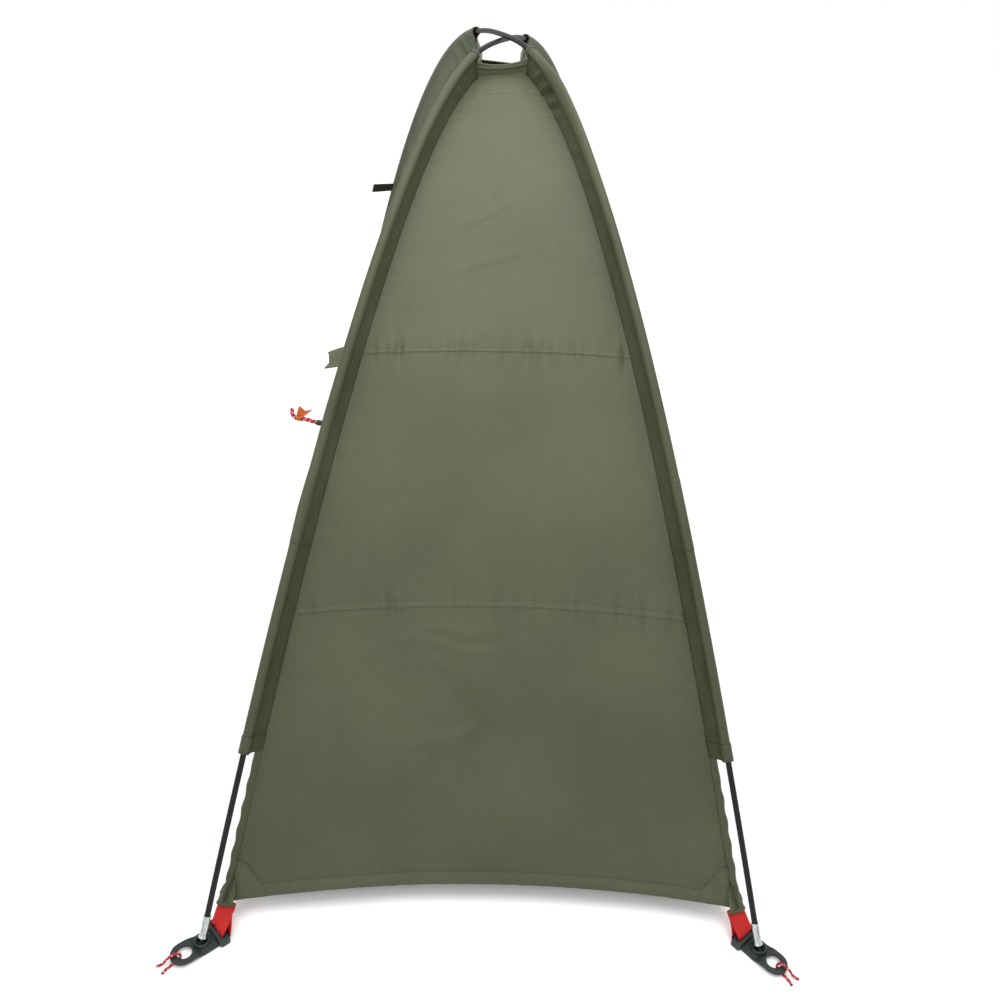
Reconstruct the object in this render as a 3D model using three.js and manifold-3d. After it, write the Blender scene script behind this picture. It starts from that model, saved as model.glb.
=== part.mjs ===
// A narrow two-pole tent. Two shock-corded poles cross at the top and bend down to four
// peg plates. A wide fabric sleeve on each pole leg carries the corner seam of the canopy,
// and the canopy is open at the top and at the bottom.
// Millimetres, +Z up. The origin is on the ground at the centre, the front end faces -Y.
import * as THREE from "three";
import { mergeVertices } from "three/addons/utils/BufferGeometryUtils.js";
import Module from "manifold-3d";

// ---------- driving dimensions ----------
const FOOT_WIDTH = 800; // pole tip to pole tip across the end
const FOOT_LENGTH = 2000; // pole tip to pole tip along the side
const POLE_HEIGHT = 1078; // crossing of the upper pole above the pole tips
const TIP_Z = 9; // pole tip above the ground
const POLE_CROSS_DROP = 9; // lower pole's centre line under the upper pole's at the crossing
const BEND_SPREAD = 0.3141; // share of the leg over which the top bend is spread
const BEND_POWER = 1.294; // how fast the pole falls away from the crossing

const POLE_RADIUS = 4.25;
const POLE_BORE = 2.8;
const POLE_SECTIONS = 5;
const SECTION_GAP = 0.4;
const SECTION_SPANS = [6, 8, 12, 8, 6]; // more where the pole bends more
const FERRULE_RADIUS = 5.5;
const FERRULE_BORE = 4.65;
const FERRULE_LENGTH = 60;
const SHOCK_CORD_RADIUS = 1.5;
const TIP_BARREL_RADIUS = 5.4;
const TIP_LENGTH = 38;
const TIP_SOCKET_START = 12;
const PIN_RADIUS = 2.5;
const SHOULDER_RADIUS = 5.9; // the flared foot of the pole tip

const FIN_WIDTH = 38; // pole centre to corner seam
const FIN_TURN = THREE.MathUtils.degToRad(12); // how far the fin turns across the end at the foot
const FIN_THICKNESS = 2;
const CHANNEL_RADIUS = 7.8;
const CHANNEL_BORE = 6.8;
const SLEEVE_TOP = 0.112; // share of the leg, measured from the crossing
const SLEEVE_HEM = 0.865;
const CORNER_SHARE = 0.976; // where the corner seam ends above the peg plate
const SEAM_GAP = 2;

const CLOTH = 1.6; // stand-in thickness of the coated cloth
const END_SAG = 0.045; // inward sag of an end panel, as a share of its local width
const SIDE_SAG = 0.035;
const HEM_RISE = 0.02; // how far the hem's middle rises, as a share of the corner seam
const COLLAR_START = 12; // panel's top corner below the pole's centre line
const COLLAR_DIP = 0.3; // how far the open top's edge dips, as a share of the collar

const DOOR_TOP = 0.575; // share of the corner seam, from the sleeve's mouth to the corner
const DOOR_FOOT = 0.985;
const DOOR_HINGE_Y = -150;
const DOOR_GAP = 5;
const DOOR_TOP_SLIT = 0.006; // share of the corner seam between the door's top and the canopy
const REAR_SAG_SHARE = 0.6; // the cloth behind the door sags this much as far as a whole side
const ZIP_INSET = 27; // zip line behind the front left corner seam
const ZIP_WIDTH = 8;
const ZIP_THICKNESS = 3;
const SLIDER_LENGTH = 15;
const SLIDER_WIDTH = 8.4;
const SLIDER_HEIGHT = 4;
const BAIL_RADIUS = 4.2;
const BAIL_WIRE = 1.1;
const BAIL_LIFT = 3.2; // slider's top face to the bail's highest point inside
const PULL_CORD_RADIUS = 2.3;
const PULL_TAB = { across: 1.6, up: 18, out: 18 };
const PULL_TAB_OUT = 58; // slider's middle to the tab's middle
const PULL_TAB_UP = 14.4;

const PLATE_WIDTH = 36;
const PLATE_THICKNESS = 5;
const PLATE_TOE = 47; // boss centre to the outer end
const PEG_HOLE_RADIUS = 10.5;
const PEG_HOLE_OUT = 26.5;
const BOSS_RADIUS = 11.3;
const BOSS_HEIGHT = 12;
const CUP_FLOOR = 4; // bottom of the boss's cup above the ground
const CUP_FLOOR_RADIUS = 4.6;
const CUP_MOUTH_RADIUS = 8.4;
const BAR_OUT = 34; // boss centre to the inner end
const BAR_LENGTH = 16;
const BAR_WIDTH = 44;
const BAR_HEIGHT = 12;
const SLOT_LENGTH = 33;
const SLOT_WIDTH = 5.5;
const SLOT_INSET = 6; // inner end to the slot
const RING_LIFT = 4.4;
const WEBBING_WIDTH = 30;
const WEBBING_THICKNESS = 2.2;
const WEBBING_START = 4; // lower end of the strap in the slot, above the ground
const WEBBING_TURN = 3; // how far the strap leans over the bar
const WEBBING_END_DROP = 4; // canopy's corner to the strap's upper end
const PEG_CORD_RADIUS = 1.7;

const TIE_SHARE = 0.542; // tab beside the door, on the front left leg
const TIE_TAB = { length: 44, thickness: 1.6, height: 29 };
const TIE_DROOP = 0.4; // fall of the tab for each unit that it runs outwards
const TIE_STAND_OFF = 6; // sleeve's middle to the tab's sewn end
const GUY_LOOP_SHARE = 0.5875; // loop on the rear left leg
const GUY_LOOP = { length: 48, thickness: 3, height: 25 };

const SMALL_GAP = 0.4;

// ---------- corners ----------
// toe is the angle of each peg plate's outer end from the width direction, in degrees
const CORNERS = {
  front_left: { x: -1, y: -1, upper: false, toe: 40 },
  front_right: { x: 1, y: -1, upper: true, toe: 50 },
  rear_left: { x: -1, y: 1, upper: true, toe: 50 },
  rear_right: { x: 1, y: 1, upper: false, toe: 40 },
};

// ---------- materials ----------
function finish(color, roughness, metalness = 0) {
  return new THREE.MeshStandardMaterial({ color, roughness, metalness });
}
const CLOTH_FINISH = finish(0x696e58, 0.78);
const SLEEVE_FINISH = finish(0x5c624c, 0.78);
const POLE_FINISH = finish(0x1a2020, 0.35);
const FERRULE_FINISH = finish(0x2a3030, 0.4, 0.6);
const TIP_FINISH = finish(0xbec3c3, 0.3, 1);
const PLATE_FINISH = finish(0x343e3e, 0.55);
const WEBBING_FINISH = finish(0xcd2620, 0.8);
const CORD_FINISH = finish(0xd72332, 0.8);
const ELASTIC_FINISH = finish(0xe6e6e0, 0.85);
const ZIP_FINISH = finish(0x2d3226, 0.5);
const SLIDER_FINISH = finish(0x23282a, 0.4, 0.7);
const TAB_FINISH = finish(0xc45c1e, 0.8);

const wasm = await Module();
wasm.setup();

const tent = new THREE.Group();

function addPiece(name, geometry, material) {
  const mesh = new THREE.Mesh(geometry, material);
  mesh.name = name;
  tent.add(mesh);
  return mesh;
}

// ---------- small geometry helpers ----------
const UP = new THREE.Vector3(0, 0, 1);

function lerp(a, b, t) {
  return a + (b - a) * t;
}

function vec(x, y, z) {
  return new THREE.Vector3(x, y, z);
}

function range(count) {
  return [...Array(count).keys()];
}

function bow(u) {
  return 4 * u * (1 - u);
}

function toGeometry(points, triangles) {
  const geometry = new THREE.BufferGeometry();
  const flat = points.flatMap((p) => [p.x, p.y, p.z]);
  geometry.setAttribute("position", new THREE.Float32BufferAttribute(flat, 3));
  geometry.setIndex(triangles.flat());
  geometry.computeVertexNormals();
  return geometry;
}

// A closed body swept through a list of stations. Each station gives the points of one
// section, all in the same order; holePoints does the same for a bore through the body.
function sweep(stations, outline, hole = null) {
  const points = [];
  const triangles = [];
  const count = outline.length;
  const holeCount = hole ? hole.length : 0;
  const stride = count + holeCount;
  for (const place of stations) {
    for (const corner of [...outline, ...(hole ?? [])]) points.push(place(corner.x, corner.y));
  }
  const joinRing = (start, size, i, outward) => {
    for (const k of range(size)) {
      const a = i * stride + start + k;
      const b = i * stride + start + ((k + 1) % size);
      const c = a + stride;
      const d = b + stride;
      if (outward) triangles.push([a, b, d], [a, d, c]);
      else triangles.push([a, d, b], [a, c, d]);
    }
  };
  for (const i of range(stations.length - 1)) {
    joinRing(0, count, i, true);
    if (hole) joinRing(count, holeCount, i, false);
  }
  const cap = THREE.ShapeUtils.triangulateShape(outline, hole ? [hole] : []);
  const last = (stations.length - 1) * stride;
  for (const [a, b, c] of cap) {
    triangles.push([a, c, b], [last + a, last + b, last + c]);
  }
  return toGeometry(points, triangles);
}

function circle(radius, sides, turn = 0) {
  return range(sides).map((k) => {
    const angle = turn + (2 * Math.PI * k) / sides;
    return new THREE.Vector2(radius * Math.cos(angle), radius * Math.sin(angle));
  });
}

// A station puts the section's x along one direction and its y along another.
function station(center, alongX, alongY) {
  return (x, y) => center.clone().addScaledVector(alongX, x).addScaledVector(alongY, y);
}

// A closed sheet of cloth: pointAt(u, v) gives its middle surface on a grid of values.
function sheet(pointAt, columns, rows, thickness = CLOTH) {
  const grid = rows.map((v) => columns.map((u) => pointAt(u, v)));
  const wide = columns.length;
  const high = rows.length;
  const near = (j, i) => grid[Math.min(high - 1, Math.max(0, j))][Math.min(wide - 1, Math.max(0, i))];
  const points = [];
  for (const side of [0.5, -0.5]) {
    for (const j of range(high)) {
      for (const i of range(wide)) {
        const across = near(j, i + 1).clone().sub(near(j, i - 1));
        const along = near(j + 1, i).clone().sub(near(j - 1, i));
        const normal = across.cross(along).normalize();
        points.push(grid[j][i].clone().addScaledVector(normal, side * thickness));
      }
    }
  }
  const layer = wide * high;
  const triangles = [];
  const quad = (a, b, c, d) => triangles.push([a, b, c], [a, c, d]);
  for (const j of range(high - 1)) {
    for (const i of range(wide - 1)) {
      const a = j * wide + i;
      quad(a, a + 1, a + wide + 1, a + wide);
      quad(layer + a, layer + a + wide, layer + a + wide + 1, layer + a + 1);
    }
  }
  for (const i of range(wide - 1)) {
    const bottom = (high - 1) * wide + i;
    quad(i + 1, i, layer + i, layer + i + 1);
    quad(bottom, bottom + 1, layer + bottom + 1, layer + bottom);
  }
  for (const j of range(high - 1)) {
    const left = j * wide;
    const right = left + wide - 1;
    quad(left, left + wide, layer + left + wide, layer + left);
    quad(right + wide, right, layer + right, layer + right + wide);
  }
  return toGeometry(points, triangles);
}

function toSolid(geometry) {
  const bare = geometry.clone();
  bare.deleteAttribute("normal");
  bare.deleteAttribute("uv");
  const merged = mergeVertices(bare, 1e-4);
  return new wasm.Manifold(
    new wasm.Mesh({
      numProp: 3,
      vertProperties: new Float32Array(merged.attributes.position.array),
      triVerts: new Uint32Array(merged.index.array),
    }),
  );
}

function fromSolid(solid) {
  const mesh = solid.getMesh();
  const geometry = new THREE.BufferGeometry();
  geometry.setAttribute("position", new THREE.BufferAttribute(mesh.vertProperties, 3));
  geometry.setIndex(new THREE.BufferAttribute(mesh.triVerts, 1));
  geometry.computeVertexNormals();
  return geometry;
}

function evenly(start, end, count) {
  return range(count + 1).map((i) => lerp(start, end, i / count));
}

// ---------- the pole line ----------
// share runs from 0 at the crossing to 1 at the tip.
function poleDrop(share) {
  const spread = Math.hypot(share, BEND_SPREAD) - BEND_SPREAD;
  return (spread / (Math.hypot(1, BEND_SPREAD) - BEND_SPREAD)) ** BEND_POWER;
}

function polePoint(corner, share) {
  const height = POLE_HEIGHT - (corner.upper ? 0 : POLE_CROSS_DROP);
  return vec(
    (corner.x * FOOT_WIDTH * share) / 2,
    (corner.y * FOOT_LENGTH * share) / 2,
    TIP_Z + height * (1 - poleDrop(share)),
  );
}

function poleTangent(corner, share) {
  const step = 1e-4;
  return polePoint(corner, share + step).sub(polePoint(corner, Math.max(0, share - step))).normalize();
}

// across is level and square to the pole; inner is square to it, down and inwards.
function poleFrame(corner, share) {
  const along = poleTangent(corner, share);
  const across = vec(-corner.x * FOOT_LENGTH, corner.y * FOOT_WIDTH, 0).normalize();
  const inner = UP.clone().addScaledVector(along, -along.z).normalize().negate();
  return { along, across, inner };
}

function finDirection(corner, share) {
  const { across, inner } = poleFrame(corner, share);
  const turn = FIN_TURN * share;
  return inner.multiplyScalar(Math.cos(turn)).addScaledVector(across, Math.sin(turn));
}

function finPoint(corner, share, width) {
  return polePoint(corner, share).addScaledVector(finDirection(corner, share), width);
}

// A whole pole runs from its start corner, through the crossing, to the opposite corner.
function wholePole(startCorner, endCorner) {
  const at = (s) => (s < 0 ? polePoint(startCorner, -s) : polePoint(endCorner, s));
  const steps = 400;
  const lengths = [0];
  for (const i of range(steps)) {
    const from = at(lerp(-1, 1, i / steps));
    lengths.push(lengths[i] + from.distanceTo(at(lerp(-1, 1, (i + 1) / steps))));
  }
  const total = lengths[steps];
  const shareAt = (length) => {
    const i = Math.min(steps - 1, Math.max(0, lengths.findIndex((l) => l >= length) - 1));
    const part = (length - lengths[i]) / (lengths[i + 1] - lengths[i]);
    return lerp(-1, 1, (i + part) / steps);
  };
  const level = vec(startCorner.y * FOOT_LENGTH, -startCorner.x * FOOT_WIDTH, 0).normalize();
  const stationAt = (length) => {
    const s = shareAt(length);
    const along = at(s + 1e-4).sub(at(s - 1e-4)).normalize();
    return station(at(s), level, along.cross(level));
  };
  return { total, stationAt };
}

function poleTube(pole, lengths, radius, bore) {
  const sides = bore ? 8 : 6;
  return sweep(lengths.map(pole.stationAt), circle(radius, sides), bore ? circle(bore, sides) : null);
}

function addPole(letter, startCorner, endCorner) {
  const pole = wholePole(startCorner, endCorner);
  const clearEnd = TIP_SOCKET_START + SMALL_GAP;
  const half = FERRULE_LENGTH / 2;
  const joints = evenly(clearEnd, pole.total - clearEnd, POLE_SECTIONS);
  const bends = range(POLE_SECTIONS).map((i) =>
    evenly(joints[i] + half, joints[i + 1] - half, SECTION_SPANS[i]));
  for (const i of range(POLE_SECTIONS)) {
    const lengths = [joints[i] + SECTION_GAP / 2, ...bends[i], joints[i + 1] - SECTION_GAP / 2];
    const tube = poleTube(pole, lengths, POLE_RADIUS, POLE_BORE);
    addPiece(`pole_${letter}_section_${i + 1}`, tube, POLE_FINISH);
  }
  for (const i of range(POLE_SECTIONS - 1)) {
    const middle = joints[i + 1];
    const tube = poleTube(pole, [middle - half, middle, middle + half], FERRULE_RADIUS, FERRULE_BORE);
    addPiece(`pole_${letter}_ferrule_${i + 1}`, tube, FERRULE_FINISH);
  }
  const cordLengths = [joints[0] + 4, ...bends.flat(), joints[POLE_SECTIONS] - 4];
  addPiece(`shock_cord_${letter}`, poleTube(pole, cordLengths, SHOCK_CORD_RADIUS, 0), ELASTIC_FINISH);
}

// The metal end of a pole leg: a pin with a round nose, a flared shoulder and a socket.
function addPoleTip(name, corner) {
  const bore = FERRULE_BORE;
  const profile = [
    [0, -3], [1.6, -2.4], [PIN_RADIUS, -0.6], [PIN_RADIUS, 5.5], [SHOULDER_RADIUS, 8.2],
    [SHOULDER_RADIUS, 9.8],
    [TIP_BARREL_RADIUS, 11], [TIP_BARREL_RADIUS, TIP_LENGTH], [bore, TIP_LENGTH],
    [bore, TIP_SOCKET_START], [0, TIP_SOCKET_START],
  ].map(([r, h]) => new THREE.Vector2(r, h));
  const geometry = new THREE.LatheGeometry(profile, 10);
  const axis = poleTangent(corner, 1).negate();
  const turn = new THREE.Quaternion().setFromUnitVectors(vec(0, 1, 0), axis);
  const merged = fromSolid(toSolid(geometry));
  merged.applyQuaternion(turn);
  const mesh = addPiece(`pole_tip_${name}`, merged, TIP_FINISH);
  mesh.position.copy(polePoint(corner, 1));
}

// ---------- sleeves ----------
function addSleeve(name, corner) {
  const half = FIN_THICKNESS / 2;
  const mouth = Math.asin(half / CHANNEL_RADIUS);
  const arc = range(9).map((k) => {
    const angle = lerp(mouth, 2 * Math.PI - mouth, k / 8);
    return new THREE.Vector2(CHANNEL_RADIUS * Math.cos(angle), CHANNEL_RADIUS * Math.sin(angle));
  });
  const webEnd = FIN_WIDTH - SEAM_GAP;
  const outline = [new THREE.Vector2(webEnd, -half), new THREE.Vector2(webEnd, half), ...arc];
  const shares = evenly(0, 1, 16).map((t) => lerp(SLEEVE_TOP, SLEEVE_HEM, t ** 1.5));
  const stations = shares.map((share) => {
    const towardSeam = finDirection(corner, share);
    const square = poleTangent(corner, share).cross(towardSeam);
    return station(polePoint(corner, share), towardSeam, square);
  });
  const geometry = sweep(stations, outline, circle(CHANNEL_BORE, 8));
  addPiece(`pole_sleeve_${name}`, geometry, SLEEVE_FINISH);
}

// ---------- canopy panels ----------
// place runs from -1 at the panel's top corner, just under the pole, through 0 where the
// corner seam starts at full width, to 1 at the bottom corner.
function seamPoint(corner, place) {
  if (place < 0) return finPoint(corner, SLEEVE_TOP, lerp(FIN_WIDTH, COLLAR_START, -place));
  return finPoint(corner, lerp(SLEEVE_TOP, CORNER_SHARE, place), FIN_WIDTH);
}

// shift moves the edge off the seam line, towards the panel's own middle.
function panelSurface(first, second, shift, sag) {
  return (u, place) => {
    const shapedPlace = place * (1 - bow(u) * (place < 0 ? COLLAR_DIP : HEM_RISE * place ** 6));
    const start = seamPoint(first, shapedPlace).add(shift);
    const end = seamPoint(second, shapedPlace).sub(shift);
    const inward = vec(shift.y, shift.x, 0).normalize().negate();
    const middle = start.clone().add(end).setZ(0);
    if (middle.dot(inward) > 0) inward.negate();
    const depth = sag * start.distanceTo(end) * bow(u);
    return start.lerp(end, u).addScaledVector(inward, depth);
  };
}

const ENDWAYS = vec(SEAM_GAP, 0, 0);
const SIDEWAYS = vec(0, SEAM_GAP, 0);
const { front_left, front_right, rear_left, rear_right } = CORNERS;
const frontSurface = panelSurface(front_left, front_right, ENDWAYS, END_SAG);
const rearSurface = panelSurface(rear_right, rear_left, ENDWAYS.clone().negate(), END_SAG);
const rightSurface = panelSurface(front_right, rear_right, SIDEWAYS, SIDE_SAG);
const leftSurface = panelSurface(rear_left, front_left, SIDEWAYS.clone().negate(), SIDE_SAG);

function addPanels() {
  const rows = [-1, -0.5, ...evenly(0, 1, 9)];
  const columns = evenly(0, 1, 8);
  addPiece("front_panel", sheet(frontSurface, columns, rows), CLOTH_FINISH);
  addPiece("rear_panel", sheet(rearSurface, columns, evenly(0.02, 1, 9)), CLOTH_FINISH);
  addPiece("right_panel", sheet(rightSurface, evenly(0, 1, 12), rows), CLOTH_FINISH);
}

// ---------- left side with its door ----------
// The share of the way across the left side, from rear to front, where it crosses depth y.
function leftShareAt(y, place) {
  const start = leftSurface(0, place).y;
  const end = leftSurface(1, place).y;
  return (y - start) / (end - start);
}

const zipTop = leftSurface(1, DOOR_TOP).add(vec(0, ZIP_INSET, 0));
const zipFoot = leftSurface(1, DOOR_FOOT).add(vec(0, ZIP_INSET, 0));
const hingeTop = leftSurface(leftShareAt(DOOR_HINGE_Y, DOOR_TOP), DOOR_TOP);
const hingeFoot = leftSurface(leftShareAt(DOOR_HINGE_Y, DOOR_FOOT), DOOR_FOOT);
const zipAlong = zipFoot.clone().sub(zipTop).normalize();
const zipOut = hingeTop.clone().sub(zipTop).cross(zipAlong).normalize();
if (zipOut.x > 0) zipOut.negate();
const zipAcross = zipOut.clone().cross(zipAlong).normalize();
if (zipAcross.y < 0) zipAcross.negate();

function addLeftSide() {
  const topRows = [-1, -0.5, ...evenly(0, DOOR_TOP - DOOR_TOP_SLIT, 6)];
  addPiece("left_panel_top", sheet(leftSurface, evenly(0, 1, 10), topRows), CLOTH_FINISH);

  const zipPoint = (v) => zipTop.clone().lerp(zipFoot, v);
  const hingePoint = (v) => hingeTop.clone().lerp(hingeFoot, v);

  const strip = (u, v) => {
    const edge = zipPoint(v).addScaledVector(zipAcross, -DOOR_GAP);
    const seam = leftSurface(1, lerp(DOOR_TOP, 1, v));
    return edge.lerp(seam, u);
  };
  addPiece("left_panel_front", sheet(strip, evenly(0, 1, 2), evenly(0, 1, 8)), CLOTH_FINISH);

  const door = (u, v) => {
    const hinged = hingePoint(v).add(vec(0, -SEAM_GAP, 0));
    const free = zipPoint(v).addScaledVector(zipAcross, DOOR_GAP);
    return hinged.lerp(free, u);
  };
  addPiece("door_flap", sheet(door, evenly(0, 1, 5), evenly(0, 1, 6)), CLOTH_FINISH);

  const rear = (u, v) => {
    const hinged = hingePoint(v).add(vec(0, SEAM_GAP, 0));
    const seam = leftSurface(0, lerp(DOOR_TOP, 1, v));
    const depth = REAR_SAG_SHARE * SIDE_SAG * seam.distanceTo(hinged) * bow(u);
    return seam.lerp(hinged, u).add(vec(depth, 0, 0));
  };
  addPiece("left_panel_rear", sheet(rear, evenly(0, 1, 7), evenly(0, 1, 6)), CLOTH_FINISH);

  const section = [[-1, -1], [1, -1], [1, 1], [-1, 1]].map(
    ([a, b]) => new THREE.Vector2((a * ZIP_WIDTH) / 2, (b * ZIP_THICKNESS) / 2),
  );
  const ends = [zipPoint(0), zipPoint(1)].map((p) => station(p, zipAcross, zipOut));
  addPiece("zip_track", orient(sweep(ends, section)), ZIP_FINISH);
}

// Turns a body the right way out when its section ran the other way round.
function orient(geometry) {
  const bare = mergeVertices(geometry);
  const index = bare.index.array;
  const at = (i) => new THREE.Vector3().fromBufferAttribute(bare.attributes.position, i);
  let volume = 0;
  for (let i = 0; i < index.length; i += 3) {
    volume += at(index[i]).dot(at(index[i + 1]).cross(at(index[i + 2])));
  }
  if (volume > 0) return geometry;
  const flipped = Array.from(geometry.index.array);
  for (let i = 0; i < flipped.length; i += 3) {
    [flipped[i + 1], flipped[i + 2]] = [flipped[i + 2], flipped[i + 1]];
  }
  geometry.setIndex(flipped);
  geometry.computeVertexNormals();
  return geometry;
}

// ---------- feet ----------
// A foot has its own frame at the pole tip: out points to the peg, side is level and square
// to it.
function footFrame(corner) {
  const angle = THREE.MathUtils.degToRad(corner.toe);
  const out = vec(corner.x * Math.cos(angle), corner.y * Math.sin(angle), 0);
  const side = UP.clone().cross(out);
  const tip = polePoint(corner, 1).setZ(0);
  const at = (u, v, z) => tip.clone().addScaledVector(out, u).addScaledVector(side, v).setZ(z);
  return { out, side, tip, at, angle: Math.atan2(out.y, out.x) };
}

function slab(shape, low, high) {
  const geometry = new THREE.ExtrudeGeometry(shape, {
    depth: high - low, bevelEnabled: false, curveSegments: 10,
  });
  geometry.translate(0, 0, low);
  return toSolid(geometry);
}

function blockShape(startX, endX, width) {
  const shape = new THREE.Shape();
  shape.moveTo(startX, -width / 2);
  shape.lineTo(endX, -width / 2);
  shape.lineTo(endX, width / 2);
  shape.lineTo(startX, width / 2);
  shape.closePath();
  return shape;
}

function drum(radius, low, high, topRadius = radius) {
  const profile = [[0, low], [radius, low], [topRadius, high], [0, high]];
  const geometry = new THREE.LatheGeometry(profile.map(([r, z]) => new THREE.Vector2(r, z)), 20);
  geometry.rotateX(Math.PI / 2);
  return toSolid(geometry);
}

// A flat plate with a peg ring at its outer end, lifted so that a cord passes under it, a
// cupped boss for the pole tip, and a raised slotted bar for the webbing.
function pegPlateGeometry() {
  const noseRadius = PLATE_WIDTH / 2;
  const noseStart = PLATE_TOE - noseRadius - 1.5;
  const outline = new THREE.Shape();
  outline.moveTo(-BAR_OUT + 2, -noseRadius + 1);
  outline.lineTo(noseStart, -noseRadius);
  outline.absellipse(noseStart, 0, PLATE_TOE - noseStart, noseRadius, -Math.PI / 2, Math.PI / 2);
  outline.lineTo(-BAR_OUT + 2, noseRadius - 1);
  outline.closePath();
  const ringStart = PEG_HOLE_OUT - PEG_HOLE_RADIUS;
  const underRing = blockShape(ringStart - 2, PLATE_TOE + 5, PLATE_WIDTH + 10);
  const overPlate = blockShape(-BAR_OUT, ringStart - 4, PLATE_WIDTH + 10);
  const slot = blockShape(-BAR_OUT + SLOT_INSET, -BAR_OUT + SLOT_INSET + SLOT_WIDTH, SLOT_LENGTH);
  const bar = slab(blockShape(-BAR_OUT, -BAR_OUT + BAR_LENGTH, BAR_WIDTH), 0, BAR_HEIGHT);
  const webbingRelief = slab(blockShape(-BAR_OUT - 1, -BAR_OUT + 7, SLOT_LENGTH), -1, 3);
  return slab(outline, 0, PLATE_THICKNESS + RING_LIFT)
    .subtract(slab(overPlate, PLATE_THICKNESS, PLATE_THICKNESS + RING_LIFT + 1))
    .subtract(slab(underRing, -1, RING_LIFT))
    .add(drum(BOSS_RADIUS, 0, BOSS_HEIGHT, BOSS_RADIUS - 1))
    .add(bar)
    .subtract(slab(slot, -1, BAR_HEIGHT + 1))
    .subtract(webbingRelief)
    .subtract(drum(CUP_FLOOR_RADIUS, CUP_FLOOR, BOSS_HEIGHT + 0.01, CUP_MOUTH_RADIUS))
    .subtract(drum(PEG_HOLE_RADIUS, -1, 2 * BOSS_HEIGHT).translate([PEG_HOLE_OUT, 0, 0]));
}

function addPegPlate(name, corner) {
  const { tip, angle } = footFrame(corner);
  const mesh = addPiece(`peg_plate_${name}`, fromSolid(pegPlateGeometry()), PLATE_FINISH);
  mesh.position.copy(tip);
  mesh.rotation.z = angle;
}

// The strap comes up through the slot and over the bar to the canopy's bottom corner.
function addWebbing(name, corner) {
  const { side, at } = footFrame(corner);
  const seamEnd = seamPoint(corner, 1).add(vec(0, 0, -WEBBING_END_DROP));
  const slotMiddle = -BAR_OUT + SLOT_INSET + SLOT_WIDTH / 2;
  const start = at(slotMiddle, 0, WEBBING_START);
  const top = at(slotMiddle, 0, BAR_HEIGHT + 2);
  const edgeWise = vec(corner.x, -corner.y, 0).normalize();
  if (edgeWise.dot(side) < 0) edgeWise.negate();
  const turnOver = at(slotMiddle - WEBBING_TURN, 0, BAR_HEIGHT + 1.5 * WEBBING_TURN);
  const route = [start, top, turnOver, ...[0.35, 0.7, 1].map((t) => turnOver.clone().lerp(seamEnd, t))];
  const stations = route.map((point, i) => {
    const next = route[Math.min(i + 1, route.length - 1)];
    const before = route[Math.max(i - 1, 0)];
    const along = next.clone().sub(before).normalize();
    const wide = side.clone().lerp(edgeWise, Math.max(0, i - 2) / 3);
    wide.addScaledVector(along, -wide.dot(along)).normalize();
    return station(point, wide, along.clone().cross(wide));
  });
  const half = [WEBBING_WIDTH / 2, WEBBING_THICKNESS / 2];
  const section = [[-1, -1], [1, -1], [1, 1], [-1, 1]];
  const outline = section.map(([a, b]) => new THREE.Vector2(a * half[0], b * half[1]));
  addPiece(`corner_webbing_${name}`, orient(sweep(stations, outline)), WEBBING_FINISH);
}

function tubeGeometry(points, radius, steps, sides) {
  const curve = new THREE.CatmullRomCurve3(points, false, "centripetal");
  const section = new THREE.Shape(circle(radius, sides));
  const tube = new THREE.ExtrudeGeometry(section, {
    steps, bevelEnabled: false, extrudePath: curve, curveSegments: 1,
  });
  return fromSolid(toSolid(tube));
}

// Two short tails, one from under the peg ring and one over its nose.
const PEG_CORD_ROUTE = [
  [70, -9, 1.9], [63, -6, 1.9], [55, -3.5, 1.9], [47, -2.5, 1.9], [38, -1.5, 2.0], [33.5, -1, 4.8],
  [33, 0, 8.6], [35, 1, 12.3], [39.5, 2, 13.3], [45, 3, 12.8], [50, 4, 10.4], [53.5, 5, 6.6],
  [58, 6.5, 3.2], [64, 8.5, 1.9], [72, 12, 1.9],
];

function addPegCord(name, corner) {
  const { at } = footFrame(corner);
  const route = PEG_CORD_ROUTE.map(([u, v, z]) => at(u, v * -corner.x * corner.y, z));
  addPiece(`peg_cord_${name}`, tubeGeometry(route, PEG_CORD_RADIUS, 24, 8), CORD_FINISH);
}

// ---------- zip slider, its pull, and the small loops ----------
const sliderBase = ZIP_THICKNESS / 2 + SMALL_GAP;
const bailHeight = sliderBase + SLIDER_HEIGHT + BAIL_LIFT;
const sliderMiddle = zipTop.clone().addScaledVector(zipAlong, SLIDER_LENGTH / 2 + 2);

function sliderPoint(out, up, across = 0) {
  return sliderMiddle.clone().addScaledVector(zipOut, out).addScaledVector(zipAlong, -up)
    .addScaledVector(zipAcross, across);
}

function addSlider() {
  const body = new THREE.BoxGeometry(SLIDER_WIDTH, SLIDER_LENGTH, SLIDER_HEIGHT);
  body.translate(0, 0, sliderBase + SLIDER_HEIGHT / 2);
  const loop = new THREE.TorusGeometry(BAIL_RADIUS, BAIL_WIRE, 6, 14);
  loop.rotateY(Math.PI / 2);
  loop.translate(0, 0, bailHeight - 1.2);
  const solid = toSolid(body).add(toSolid(loop));
  const geometry = fromSolid(solid);
  const basis = new THREE.Matrix4().makeBasis(zipAcross, zipOut.clone().cross(zipAcross), zipOut);
  const mesh = addPiece("zip_slider", geometry, SLIDER_FINISH);
  mesh.quaternion.setFromRotationMatrix(basis);
  mesh.position.copy(sliderMiddle);
}

// Out from the canopy and up along the zip, from the slider's middle. Its end curls up.
const PULL_ROUTE = [
  [13.5, 0.5], [20, 1.7], [28, 2], [36, 1.6], [44, 1.7], [51, 2.2], [58, 2], [64, 0.8],
  [69.5, 1.2], [74, 4.2], [76.6, 9], [77, 13.5],
];

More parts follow.
